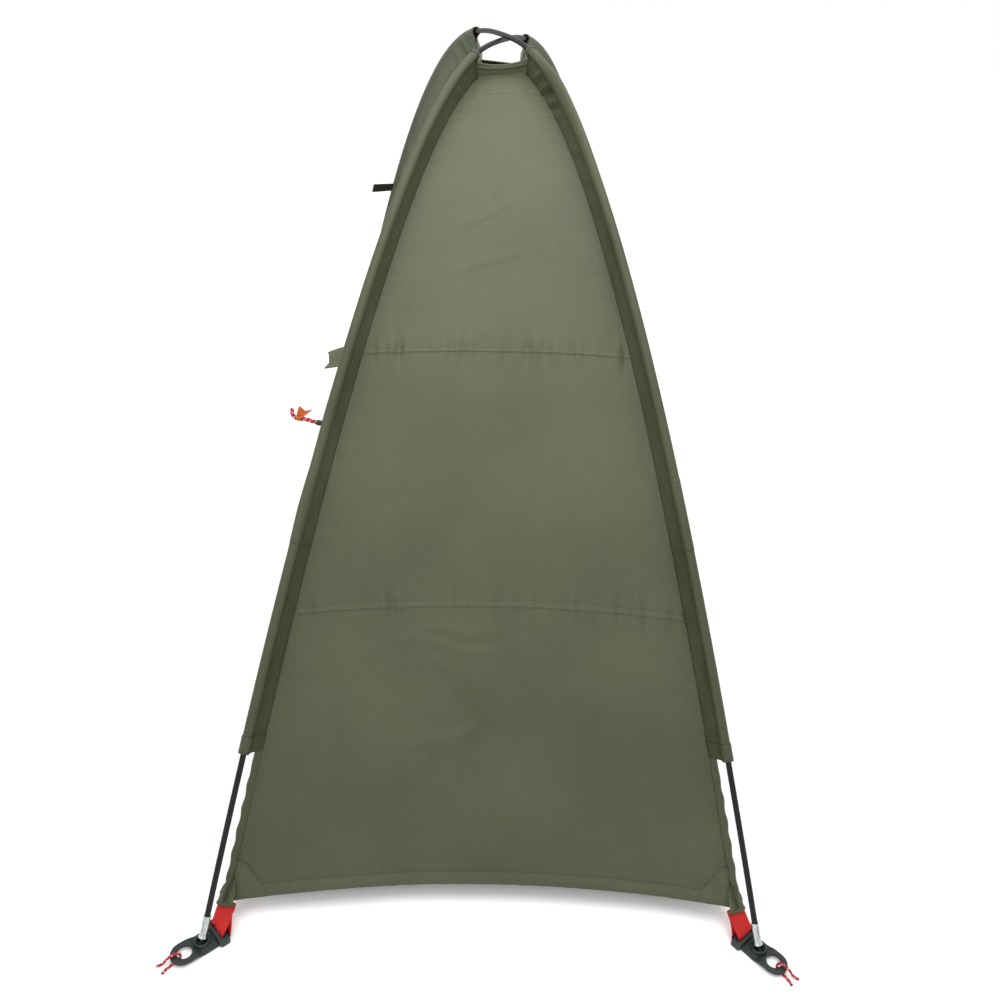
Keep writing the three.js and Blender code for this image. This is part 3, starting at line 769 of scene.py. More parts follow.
@dataclass(frozen=True)
class DrawnTube(Finish):
    """Pultruded glass-fibre tube with a dark gel coat: glossy, with faint lines drawn along it."""

    dark: str = "#0A0D0D"
    light: str = "#151A1A"

    def surface(self, tree: Tree, place: Socket, cloth: Socket) -> Surface:
        """Returns faint drawn lines and shorter scuffs."""
        drawn, rubbed = (
            add_node(tree, "Mapping", {"Vector": cloth, "Scale": scale})
            for scale in ((2600.0, 14.0, 1.0), (180.0, 60.0, 1.0))
        )
        noise = {"Scale": 1.0, "Roughness": 0.55}
        lines = add_node(tree, "TexNoise", {**noise, "Vector": drawn, "Detail": 2.0})
        scuffs = add_node(tree, "TexNoise", {**noise, "Vector": rubbed, "Detail": 4.0})
        tone = add_node(tree, "Math", {0: lines, 1: scuffs}, operation="MULTIPLY")
        colour = add_node(tree, "ValToRGB", {"Fac": tone}, stops={0.1: self.dark, 0.5: self.light})
        return Surface(colour, lines, 0.05 * MM, 0.5, scuffs, (0.08, 0.14))


@dataclass(frozen=True)
class TurnedMetal(Finish):
    """Turned and tumbled metal: fine rings left by the tool, and soft bright scratches."""

    dark: str = "#A6ABAB"
    light: str = "#C4C9C9"
    ring_pitch: float = 0.5 * MM

    def surface(self, tree: Tree, place: Socket, cloth: Socket) -> Surface:
        """Returns the tool's rings and soft stains."""
        waves = {"Vector": place, "Scale": band_scale(self.ring_pitch), "Distortion": 0.5}
        rings = add_node(tree, "TexWave", waves, "Fac", bands_direction="Z")
        stains = add_node(
            tree, "TexNoise", {"Vector": place, "Scale": 220.0, "Detail": 4.0, "Roughness": 0.55}
        )
        colour = add_node(tree, "ValToRGB", {"Fac": stains}, stops={0.3: self.dark, 0.65: self.light})
        return Surface(colour, rings, 0.02 * MM, 0.3, stains, (0.04, 0.06))


@dataclass(frozen=True)
class SpunThread(Finish):
    """Twisted thread or cast nylon: two close tones with a fine twist along it."""

    dark: str = "#31352A"
    light: str = "#484C3D"
    twist: float = 0.6 * MM

    def surface(self, tree: Tree, place: Socket, cloth: Socket) -> Surface:
        """Returns the twist and two close tones."""
        slanting = add_node(tree, "Mapping", {"Vector": place, "Rotation": (0.0, 0.0, math.radians(40))})
        waves = {"Vector": slanting, "Scale": band_scale(self.twist), "Distortion": 1.0}
        twist = add_node(tree, "TexWave", waves, "Fac", bands_direction="Y")
        tone = add_node(
            tree, "TexNoise", {"Vector": place, "Scale": 300.0, "Detail": 2.0, "Roughness": 0.55}
        )
        colour = add_node(tree, "ValToRGB", {"Fac": tone}, stops={0.3: self.dark, 0.7: self.light})
        return Surface(colour, twist, 0.1 * MM, 0.5)


@dataclass(frozen=True)
class StudioFloor(Finish):
    """Matt painted board, rolled smooth."""

    def surface(self, tree: Tree, place: Socket, cloth: Socket) -> Surface:
        """Returns a nearly even white."""
        grain = add_node(
            tree, "TexNoise", {"Vector": place, "Scale": 30.0, "Detail": 2.0, "Roughness": 0.55}
        )
        return Surface(add_node(tree, "ValToRGB", {"Fac": grain}, stops={0.2: "#FAFAFA", 0.8: "#FEFEFE"}))


@dataclass
class Finishes:
    """Every finish on the tent."""

    cloth: Material = field(init=False)

    def __post_init__(self) -> None:
        """Builds each material once."""
        self.cloth = CoatedTaffeta(
            "coated_polyester_taffeta", roughness=0.55, specular=0.35, sheen=0.06
        ).build()
        self.binding = CoatedTaffeta(
            "folded_taffeta_binding",
            roughness=0.6,
            specular=0.35,
            sheen=0.06,
            dark="#3F442F",
            middle="#4C5139",
            light="#5A5F47",
        ).build()
        # The sleeves' doubled cloth: the same taffeta painted darker, as painted shade for the light that
        # two layers keep from shining through.
        self.doubled = CoatedTaffeta(
            "doubled_taffeta_painted_shade",
            roughness=0.55,
            specular=0.35,
            dark="#30351F",
            middle="#3C412B",
            light="#4A4F39",
        ).build()
        self.thread = SpunThread("spun_polyester_thread", roughness=0.7).build()
        self.strap = WovenStrap(
            "woven_polypropylene_strap", roughness=0.55, specular=0.25, sheen=0.05
        ).build()
        self.dark_strap = WovenStrap(
            "woven_dark_nylon_strap",
            roughness=0.6,
            specular=0.3,
            dark="#15180F",
            light="#262B1F",
            rib=1.5 * MM,
        ).build()
        self.peg_cord = BraidedSheath(
            "braided_polyester_cord", roughness=0.6, specular=0.3, fleck_share=0.74
        ).build()
        self.pull_cord = BraidedSheath(
            "braided_two_tone_cord", roughness=0.6, specular=0.3, pitch=1.5 * MM, fleck_share=0.62
        ).build()
        self.elastic = BraidedSheath(
            "braided_elastic_cord", roughness=0.7, strand="#E6E6E0", shade="#B9B9B0", fleck="#F4F4F0"
        ).build()
        self.tab = WovenStrap(
            "coated_orange_tape", roughness=0.5, specular=0.3, dark="#8A3A0C", light="#BE5C1A", rib=1.1 * MM
        ).build()
        self.plate = MouldedNylon("moulded_glass_filled_nylon", roughness=0.5, specular=0.35).build()
        self.pole = DrawnTube("pultruded_fibreglass", roughness=0.34, specular=0.22).build()
        self.ferrule = TurnedMetal(
            "black_anodised_aluminium", roughness=0.4, metallic=1.0, dark="#23282A", light="#3A4144"
        ).build()
        self.tip = TurnedMetal("turned_zinc_plated_steel", roughness=0.3, metallic=1.0).build()
        self.slider = TurnedMetal(
            "painted_die_cast_zinc", roughness=0.42, metallic=0.6, dark="#1B1F20", light="#33393B"
        ).build()
        self.tape = WovenStrap(
            "woven_zip_tape", roughness=0.7, dark="#24281F", light="#3E4436", rib=0.9 * MM
        ).build()
        self.coil = SpunThread("cast_nylon_coil", roughness=0.4, dark="#1C2019", light="#33382C").build()


# ---------- rows of small things along a line ----------


class LineSetter:
    """Lays small rounded bodies along lines: stitches, or the teeth of a zip."""

    def __init__(self) -> None:
        """Builds the Geometry Nodes tree once."""
        tree = bpy.data.node_groups.new("rounded_bodies_along_lines", "GeometryNodeTree")
        face = tree.interface
        for name, kind in (
            ("Geometry", "Geometry"), ("Pitch", "Float"), ("Half Size", "Vector"), ("Finish", "Material")
        ):
            face.new_socket(name, in_out="INPUT", socket_type=f"NodeSocket{kind}")
        face.new_socket("Geometry", in_out="OUTPUT", socket_type="NodeSocketGeometry")
        given = tree.nodes.new("NodeGroupInput").outputs
        curve = add_node(tree, "GeometryNodeMeshToCurve", {"Mesh": given["Geometry"]})
        sockets = {"Curve": curve, "Length": given["Pitch"]}
        places = add_node(tree, "GeometryNodeResampleCurve", sockets, mode="LENGTH")
        attribute = "GeometryNodeInputNamedAttribute"
        upward = add_node(tree, attribute, {"Name": "up"}, "Attribute", data_type="FLOAT_VECTOR")
        tangent = add_node(tree, "GeometryNodeInputTangent", {})
        align = "FunctionNodeAlignRotationToVector"
        along = add_node(tree, align, {"Vector": tangent}, axis="X")
        square = add_node(tree, align, {"Rotation": along, "Vector": upward}, axis="Z", pivot_axis="X")
        grain = add_node(tree, "GeometryNodeMeshUVSphere", {"Segments": 6, "Rings": 4, "Radius": 1.0})
        sockets = {"Points": places, "Instance": grain, "Rotation": square, "Scale": given["Half Size"]}
        laid = add_node(tree, "GeometryNodeInstanceOnPoints", sockets)
        real = add_node(tree, "GeometryNodeRealizeInstances", {"Geometry": laid})
        sockets = {"Geometry": real, "Material": given["Finish"]}
        dressed = add_node(tree, "GeometryNodeSetMaterial", sockets)
        add_node(tree, "NodeGroupOutput", {"Geometry": dressed})
        self.tree = tree
        self.inputs = {i.name: i.identifier for i in face.items_tree if i.in_out == "INPUT"}

    def lay(
        self,
        name: str,
        lines: Sequence[tuple[Array, Array]],
        pitch: float,
        half_size: tuple[float, float, float],
        material: Material,
    ) -> Piece:
        """Lays bodies along lines.

        Args:
            name: The piece's name.
            lines: For each line its points and the upward direction at each.
            pitch: The spacing in metres.
            half_size: Half the length along the line, the width and the height.
            material: The finish.

        Returns:
            One plain mesh object.
        """
        mesh = bpy.data.meshes.new(name)
        edges: list[tuple[int, int]] = []
        total = 0
        for points, _ in lines:
            edges += [(total + i, total + i + 1) for i in range(len(points) - 1)]
            total += len(points)
        mesh.from_pydata(np.concatenate([p for p, _ in lines]).tolist(), edges, [])
        upward = mesh.attributes.new("up", "FLOAT_VECTOR", "POINT")
        upward.data.foreach_set("vector", np.concatenate([u for _, u in lines]).astype(np.float32).ravel())
        guide = new_object("guide", mesh, None)
        rows = guide.modifiers.new("rows", "NODES")
        rows.node_group = self.tree
        rows[self.inputs["Pitch"]] = pitch
        rows[self.inputs["Half Size"]] = half_size
        rows[self.inputs["Finish"]] = material
        laid = evaluated_mesh(guide)
        bpy.data.objects.remove(guide)
        laid.name = name
        laid.shade_smooth()
        return new_object(name, laid, material)


# ---------- camera, light and floor ----------


@dataclass
class Studio:
    """The camera, the pale floor and plain soft light."""

    eye: tuple[float, float, float] = (-0.0366, -1.8953, 1.3072)
    yaw: float = 0.03650
    pitch: float = 0.54955
    roll: float = -0.04509
    lens: float = 36.15
    floor_half: float = 40.0

    def place_camera(self) -> None:
        """Sets the camera at a standing person's eye, looking down at the front end."""
        forward = np.array(
            [
                math.sin(self.yaw) * math.cos(self.pitch),
                math.cos(self.yaw) * math.cos(self.pitch),
                -math.sin(self.pitch),
            ]
        )
        level = np.array([math.cos(self.yaw), -math.sin(self.yaw), 0.0])
        down = np.cross(forward, level)
        right = math.cos(self.roll) * level + math.sin(self.roll) * down
        below = -math.sin(self.roll) * level + math.cos(self.roll) * down
        turn = Matrix((right, -below, -forward)).transposed().to_4x4()
        data = bpy.data.cameras.new("camera")
        data.lens = self.lens
        data.sensor_width = 36.0
        data.dof.use_dof = False
        camera = bpy.data.objects.new("camera", data)
        bpy.context.scene.collection.objects.link(camera)
        camera.matrix_world = Matrix.Translation(self.eye) @ turn
        bpy.context.scene.camera = camera

    def soft_box(self, name: str, place: tuple, aim: tuple, size: float, power: float) -> None:
        """Hangs one square soft light.

        Args:
            name: The light's name.
            place: Where it hangs.
            aim: The point that it faces.
            size: Its side in metres.
            power: Its power in watts.
        """
        data = bpy.data.lights.new(name, "AREA")
        data.shape = "SQUARE"
        data.size = size
        data.energy = power
        light = bpy.data.objects.new(name, data)
        light.location = place
        facing = Vector(aim) - Vector(place)
        light.rotation_euler = facing.to_track_quat("-Z", "Y").to_euler()
        bpy.context.scene.collection.objects.link(light)

    def build(self) -> None:
        """Sets the floor, the lights and the white surroundings."""
        h = self.floor_half
        mesh = bpy.data.meshes.new("floor")
        mesh.from_pydata([(-h, -h, 0), (h, -h, 0), (h, h, 0), (-h, h, 0)], [], [(0, 1, 2, 3)])
        floor = new_object(
            "floor", mesh, StudioFloor("matt_painted_board", roughness=0.9, specular=0.2).build()
        )
        world = bpy.data.worlds.new("white_surroundings")
        world.use_nodes = True
        background = world.node_tree.nodes["Background"]
        background.inputs["Color"].default_value = (1.0, 1.0, 1.0, 1.0)
        background.inputs["Strength"].default_value = 1.04
        bpy.context.scene.world = world
        bpy.context.scene.view_settings.view_transform = "Standard"
        self.soft_box("top_light", (0.2, -0.6, 3.4), (0.0, 0.1, 0.6), 2.6, 62.0)
        self.soft_box("front_light", (-1.6, -3.2, 2.6), (0.0, -0.4, 0.7), 1.8, 22.0)


# ---------- the shape of sewn cloth ----------


@dataclass(frozen=True)
class Crease:
    """A faint straight ridge from one point of a panel to another, given as u and place."""

    start: tuple[float, float]
    end: tuple[float, float]
    height: float = 2.6 * MM
    width: float = 5.5 * MM


@dataclass(frozen=True)
class Pucker:
    """Small gathers that a row of stitches draws into the cloth beside it."""

    place: float
    height: float = 1.1 * MM
    reach: float = 20.0 * MM


@dataclass
class Panel:
    """One side of the canopy, between two corner seams.

    Attributes:
        name: The panel's name.
        first: The corner at u = 0.
        second: The corner at u = 1.
        outward: The way that its face looks.
        sag: How far the middle hangs inwards, as a share of the local width.
        swell: The height of the broad waves that slack cloth keeps.
        creases: Single folds.
        puckers: Gathered seams.
        seed: The seed of the waves.
    """

    name: str
    first: Corner
    second: Corner
    outward: tuple[float, float, float]
    sag: float
    swell: float = 1.6 * MM
    creases: tuple[Crease, ...] = ()
    puckers: tuple[Pucker, ...] = ()
    seed: int = 1
    collar_dip: float = 0.3
    hem_rise: float = 0.02
    hem_depth: float = 15.0 * MM
    columns: int = 121

    def __post_init__(self) -> None:
        """Measures the corner seam and draws the waves."""
        seam = LINES.seam(self.first, np.linspace(0.0, 1.0, 60))
        self.length = float(run_length(seam)[-1])
        draw = np.random.default_rng(self.seed)
        turn = draw.uniform(0.0, math.pi, 7)
        reach = draw.uniform(0.13, 0.42, 7)
        self.waves = np.stack([np.cos(turn) / reach, np.sin(turn) / reach, draw.uniform(0, 2 * math.pi, 7)])
        lengths = draw.uniform(0.012, 0.045, 9)
        self.gathers = np.stack([1 / lengths, draw.uniform(0, 2 * math.pi, 9), draw.uniform(0.4, 1.0, 9)])

    def rest(self, u: Array, place: Array) -> Array:
        """Returns the panel's middle surface before any waves."""
        u, place = np.broadcast_arrays(np.asarray(u, float), np.asarray(place, float))
        dip = np.where(place < 0, self.collar_dip, self.hem_rise * place**6)
        shaped = place * (1 - bow(u) * dip)
        start = LINES.seam(self.first, shaped)
        end = LINES.seam(self.second, shaped)
        inward = -unit(np.array([self.outward[0], self.outward[1], 0.0]))
        depth = self.sag * np.linalg.norm(end - start, axis=-1) * bow(u)
        return mix(start, end, u[..., None]) + inward * depth[..., None]

    def width(self, place: Array) -> Array:
        """Returns the panel's width at a place."""
        place = np.maximum(place, 0.0)
        gap = LINES.seam(self.second, place) - LINES.seam(self.first, place)
        return np.linalg.norm(gap, axis=-1)

    def gathered(self, along: Array) -> Array:
        """Returns an uneven ripple along a gathered line."""
        rate, phase, size = self.gathers
        waves = size * np.sin(2 * math.pi * along[..., None] * rate + phase)
        return waves.sum(axis=-1) / size.sum() * 2.2

    def relief(self, u: Array, place: Array) -> Array:
        """Returns how far the cloth stands off its middle surface."""
        width = self.width(place)
        across = (u - 0.5) * width
        down = place * self.length
        rate_x, rate_y, phase = self.waves
        broad = np.sin(2 * math.pi * (across[..., None] * rate_x + down[..., None] * rate_y) + phase)
        height = self.swell * broad.mean(axis=-1)
        for pucker in self.puckers:
            off = (down - pucker.place * self.length) / pucker.reach
            height = height + pucker.height * self.gathered(across) * np.exp(-(off**2))
        for crease in self.creases:
            height = height + self.ridge(crease, across, down)
        to_edge = np.minimum(u, 1 - u) * width
        seam_gather = 0.8 * MM * self.gathered(down) * np.exp(-to_edge / (22 * MM))
        return (height + seam_gather) * (1 - np.exp(-((to_edge / (7 * MM)) ** 2)))

    def ridge(self, crease: Crease, across: Array, down: Array) -> Array:
        """Returns one crease's height."""
        ends = [
            np.array([(u - 0.5) * float(self.width(np.array(p))), p * self.length])
            for u, p in (crease.start, crease.end)
        ]
        run = ends[1] - ends[0]
        span = float(np.hypot(*run))
        run = run / span
        dx, dy = across - ends[0][0], down - ends[0][1]
        along = (dx * run[0] + dy * run[1]) / span
        off = -dx * run[1] + dy * run[0] + 0.03 * span * np.sin(2.2 * math.pi * along)
        ends_fade = smooth(along, -0.05, 0.25) * (1 - smooth(along, 0.7, 1.05))
        return crease.height * np.exp(-((off / crease.width) ** 2)) * ends_fade

    def normal(self, u: Array, place: Array) -> Array:
        """Returns the outward direction of the middle surface."""
        step = 1e-3
        across = self.rest(u + step, place) - self.rest(u - step, place)
        down = self.rest(u, place + step) - self.rest(u, place - step)
        square = unit(np.cross(across, down))
        return square * np.sign(square @ np.array(self.outward))[..., None]

    def cloth(self, u: Array, place: Array, lift: float | Array = 0.0) -> Array:
        """Returns points on the waved cloth, raised by lift."""
        u, place = np.broadcast_arrays(np.asarray(u, float), np.asarray(place, float))
        height = self.relief(u, place) + lift
        return self.rest(u, place) + self.normal(u, place) * height[..., None]

    def grid(self, us: Array, places: Array, lift: float = 0.0) -> Array:
        """Returns a grid of points, one row for each place."""
        return self.cloth(us[None, :], places[:, None], lift)

    def row(self, place: float | Array, us: Array, lift: float) -> tuple[Array, Array]:
        """Returns a line along the panel with the outward direction at each point."""
        place = np.broadcast_to(place, us.shape)
        return self.cloth(us, place, lift), self.normal(us, place)


@dataclass
class Canopy:
    """The four sewn sides, with their hems, seams, patches and stitches."""

    finishes: Finishes
    setter: LineSetter
    stitch_pitch: float = 4.2 * MM
    stitch_half: tuple[float, float, float] = (1.45 * MM, 0.42 * MM, 0.34 * MM)
    band_thickness: float = 2.4 * MM

    def stitch(self, name: str, lines: list, body: str = CANOPY, slot: str = "canopy_cloth") -> None:
        """Sews rows of lockstitch."""
        thread = self.setter.lay(name, lines, self.stitch_pitch, self.stitch_half, self.finishes.thread)
        seat(thread, body, slot)

    def band(
        self, name: str, panel: Panel, us: Array, places: Array, lift: float, thickness: float
    ) -> None:
        """Lays a folded band of cloth over a stretch of a panel."""
        points = panel.grid(us, places, lift)
        seat(grid_object(name, points, self.finishes.binding, thickness), CANOPY, "canopy_cloth")

    def patch(
        self, name: str, panel: Panel, left: bool, place: float, size: tuple[float, float], chamfer: float
    ) -> None:
        """Sews a reinforcement patch in a panel's corner.

        Args:
            name: The piece's name.
            panel: The panel.
            left: True for the corner at u = 0.
            place: The corner's place, at the top or the bottom.
            size: The patch's reach along the edge and down the seam.
            chamfer: How much its inner corner is cut back, from 0 to 1.
        """
        s, t = np.meshgrid(np.linspace(0.0, 1.0, 14), np.linspace(0.0, 1.0, 14))
        along = size[0] * s * (1 - chamfer * t**2)
        down = size[1] * t * (1 - chamfer * s**2)
        places = place + (down if place < 0.5 else -down) / panel.length
        share = along / panel.width(places) + 0.001
        us = share if left else 1 - share
        points = panel.cloth(us, places, 1.0 * MM)
        seat(grid_object(name, points, self.finishes.binding, 0.9 * MM), CANOPY, "canopy_cloth")
        edge_u = np.concatenate([us[-1, :], us[::-1, -1]])
        edge_p = np.concatenate([places[-1, :], places[::-1, -1]])
        inside_u = edge_u + (0.003 if not left else -0.003)
        line = panel.cloth(inside_u, edge_p, 1.55 * MM)
        self.stitch(f"{name}_stitches", [(line, panel.normal(inside_u, edge_p))])

    def build_end(self, panel: Panel, node: str, top: float, seams: Sequence[float]) -> None:
        """Builds one end panel.

        Args:
            panel: The panel.
            node: The plain node that it stands for.
            top: The place of its upper edge.
            seams: The places of its cross seams.
        """
        us = np.linspace(0.0, 1.0, panel.columns)
        places = np.linspace(max(top, 0.0), 1.0, int(1.41 * panel.columns))
        if top < 0:
            places = np.concatenate([np.linspace(top, 0.0, 7)[:-1], places])
        points = panel.grid(us, places)
        piece = grid_object(f"{node}_cloth", points, self.finishes.cloth)
        seat(piece, CANOPY, "canopy_cloth", node)
        self.finish_edges(panel, node, top, seams)

    def finish_edges(self, panel: Panel, node: str, top: float, seams: Sequence[float]) -> None:
        """Adds a panel's hem, collar, cross seams, patches and their stitches."""
        us = np.linspace(0.001, 0.999, 161)
        hem = panel.hem_depth / panel.length
        half = self.band_thickness / 2 + 0.15 * MM
        edges = 1 + 0.0008 - np.linspace(hem, 0.0, 5)
        self.band(f"{node}_hem", panel, us, edges, 0.0, self.band_thickness)
        rows = [panel.row(1 - share * hem, us, half) for share in (0.2, 0.85)]
        if top < 0:
            collar = np.linspace(top, top + 0.42, 5)
            self.band(f"{node}_collar", panel, us, collar, 0.0, 2.2 * MM)
            rows.append(panel.row(top + 0.34, us, half))
            facing = 0.07
            self.band(
                f"{node}_collar_facing",
                panel,
                us,
                np.linspace(facing - 0.004, facing + 0.004, 4),
                0.0,
                1.5 * MM,
            )
        else:
            self.band(f"{node}_top_hem", panel, us, np.linspace(top, top + 0.8 * hem, 4), 0.0, 2.2 * MM)
        self.stitch(f"{node}_hem_stitches", rows)
        for i, place in enumerate(seams, 1):
            fold = 4.2 * MM / panel.length
            places = np.linspace(place - fold, place + fold, 5)
            self.band(f"{node}_seam_{i}", panel, us, places, 0.2 * MM, 1.4 * MM)
            sewn = [panel.row(place + side * 0.62 * fold, us, 1.0 * MM) for side in (-1, 1)]
            self.stitch(f"{node}_seam_{i}_stitches", sewn)
        for left, side in ((True, "first"), (False, "second")):
            self.patch(f"{node}_{side}_bottom_patch", panel, left, 1.0, (52 * MM, 46 * MM), 0.45)
            if top < 0:
                self.patch(f"{node}_{side}_top_patch", panel, left, top + 0.05, (24 * MM, 26 * MM), 0.3)


# ---------- sleeves ----------


@dataclass(frozen=True)
class Fold:
    """A group of folds across a sleeve's fin."""

    share: float
    reach: float
    height: float
    spacing: float


@dataclass
class Sleeve:
    """A strip of cloth folded round one pole leg and sewn into the corner seam."""

    corner: Corner
    canopy: Canopy
    folds: tuple[Fold, ...] = ()
    slack: tuple[tuple[float, float, float], ...] = ()
    seed: int = 3
    radius: float = 6.9 * MM
    gap: float = 0.9 * MM
    turn: float = math.radians(48.0)
    seam_end: float = 37.7 * MM
    hem_depth: float = 20 * MM

    def __post_init__(self) -> None:
        """Draws the ripples and measures the leg."""
        draw = np.random.default_rng(self.seed)
        self.ripple_rate = 1 / draw.uniform(0.05, 0.22, 6)
        self.ripple_phase = draw.uniform(0, 2 * math.pi, 6)
        shares = np.linspace(0, 1, 400)
        self.table = (shares, run_length(LINES.pole(self.corner, shares)))

    def section(self, lift: float) -> Array:
        """Returns the folded strip's section: width from the pole, and height off the fin's middle."""
        r = self.radius + lift
        wt, qt = r * math.cos(self.turn), r * math.sin(self.turn)
        drop = qt - self.gap - lift
        web = np.linspace(self.seam_end, wt, 15)[:-1]
        slope = 1 / math.tan(self.turn)
        height = self.gap + lift + drop * np.exp(-(web - wt) * slope / drop)
        angles = np.linspace(self.turn, 2 * math.pi - self.turn, 25)
        round_part = np.stack([r * np.cos(angles), r * np.sin(angles)], axis=-1)
        upper = np.stack([web, height], axis=-1)
        lower = np.stack([web[::-1], -height[::-1]], axis=-1)
        return np.concatenate([upper, round_part, lower])

    def grid(self, shares: Array, lift: float = 0.0) -> Array:
        """Returns the sleeve's points, one row for each share of the leg."""
        section = self.section(lift)
        w, q = section[:, 0], section[:, 1]
        along = np.interp(shares, *self.table)
        turns = 2 * math.pi * along[:, None] * self.ripple_rate + self.ripple_phase
        wave = np.sin(turns).mean(axis=1) * 3.4 * MM
        fade = smooth(shares, LINES.sleeve_top, LINES.sleeve_top + 0.03) * (1 - smooth(shares, 0.83, 0.865))
        web_mask = np.sin(math.pi * np.clip((w - 6 * MM) / (32 * MM), 0, 1))
        offset = (wave * fade)[:, None] * web_mask[None, :]
        for fold in self.folds:
            slant = along[:, None] + 0.8 * (w[None, :] - 20 * MM)
            turns = math.pi * slant / fold.spacing
            ridges = np.sin(2 * turns) + 0.35 * np.sin(3.7 * turns)
            mask = np.sin(math.pi * np.clip((w - 3 * MM) / (36 * MM), 0, 1)) ** 0.7
            reach = bump(shares, fold.share, fold.reach)
            offset = offset + fold.height * reach[:, None] * ridges * mask[None, :]
        outer = np.clip(-w / self.radius, 0, 1) ** 1.5
        loose = sum(h * bump(shares, s, reach) for s, reach, h in self.slack)
        reach_out = np.broadcast_to(np.asarray(loose, float), shares.shape)[:, None] * outer[None, :]
        centre = LINES.pole(self.corner, shares)
        toward = LINES.fin_direction(self.corner, shares)
        square = np.cross(LINES.tangent(self.corner, shares), toward)
        points = centre[:, None, :] + toward[:, None, :] * (w[None, :] - reach_out)[..., None]
        return points + square[:, None, :] * (q[None, :] + offset)[..., None]

    def shares(self, start: float, end: float, count: int) -> Array:
        """Returns shares of the leg, evenly spaced by length."""
        shares, lengths = self.table
        ends = np.interp([start, end], shares, lengths)
        return np.interp(np.linspace(*ends, count), lengths, shares)

    def cuff(
        self, name: str, start: float, end: float, rows: Sequence[float], thickness: float = 0.9 * MM
    ) -> None:
        """Adds a second layer of cloth round a stretch of the sleeve, with rows of stitches."""
        shares = self.shares(start, end, max(5, int(abs(end - start) * 420)))
        # The cuff's cloth is painted darker, as painted shade for the light that two layers keep out.
        layer = grid_object(
            name, self.grid(shares, 0.4 * MM + thickness / 2), self.canopy.finishes.doubled, thickness
        )
        seat(layer, CANOPY, "sleeve_cloth")
        lines = []
        for row in rows:
            at = np.array([mix(start, end, row)])
            line = self.grid(at, 0.5 * MM + thickness)[0]
            centre = LINES.fin(self.corner, at, 16 * MM)
            toward = LINES.fin_direction(self.corner, at)
            off = line - centre
            outward = unit(off - toward * (off * toward).sum(axis=1, keepdims=True) * 0.6)
            lines.append((line, outward))
        self.canopy.stitch(f"{name}_stitches", lines, CANOPY, "sleeve_cloth")

    def build(self) -> None:
        """Builds the sleeve, its hems, the corner seam and the bound edge below the sleeve."""
        name = self.corner.name
        finishes = self.canopy.finishes
        shares = self.shares(LINES.sleeve_top, LINES.sleeve_hem, 330)
        points = self.grid(shares)
        # The sleeve's cloth is painted darker, as painted shade for the light that two layers keep out.
        cloth = grid_object(f"pole_sleeve_{name}_cloth", points, finishes.doubled)
        seat(cloth, CANOPY, "sleeve_cloth", f"pole_sleeve_{name}")
        hem = self.hem_depth / self.table[1][-1]
        self.cuff(f"sleeve_hem_{name}", LINES.sleeve_hem - hem, LINES.sleeve_hem, (0.15, 0.8))
        top = LINES.sleeve_top
        self.cuff(f"sleeve_mouth_{name}", top, top + 0.5 * hem, (0.8,))
        if self.corner.y < 0:
            self.cuff(f"sleeve_patch_{name}", 0.648, 0.706, (0.05, 0.95), 0.35 * MM)
        seam_shares = self.shares(LINES.sleeve_top, LINES.corner_share, 150)
        line = LINES.fin(self.corner, seam_shares, 38.2 * MM)
        side, up = carried_frames(line, UP)
        bead = swept_object(f"corner_seam_{name}", line, side, up, ring(1.0 * MM, 8), finishes.binding)
        seat(bead, CANOPY, "canopy_cloth")
        self.build_bound_edge()

    def build_bound_edge(self) -> None:
        """Builds the bound seam allowance that runs from the sleeve's hem to the bottom corner."""
        shares = self.shares(0.858, LINES.corner_share, 60)
        toward = LINES.fin_direction(self.corner, shares)
        square = np.cross(LINES.tangent(self.corner, shares), toward)
        along = np.interp(shares, *self.table)
        waver = 1.1 * MM * np.sin(2 * math.pi * along / 0.034) * smooth(shares, 0.865, 0.89)
        centre = LINES.fin(self.corner, shares, 31 * MM) + square * waver[:, None]
        section = rounded_bar(14 * MM, 2.0 * MM)
        finishes = self.canopy.finishes
        name = self.corner.name
        edge = swept_object(f"bound_edge_{name}", centre, toward, square, section, finishes.binding)
        seat(edge, CANOPY, "canopy_cloth")
        lines = []
        for face in (-1, 1):
            lines.append((centre - toward * 3 * MM + square * face * 1.15 * MM, square * face))
        self.canopy.stitch(f"bound_edge_{name}_stitches", lines)


# ---------- poles ----------


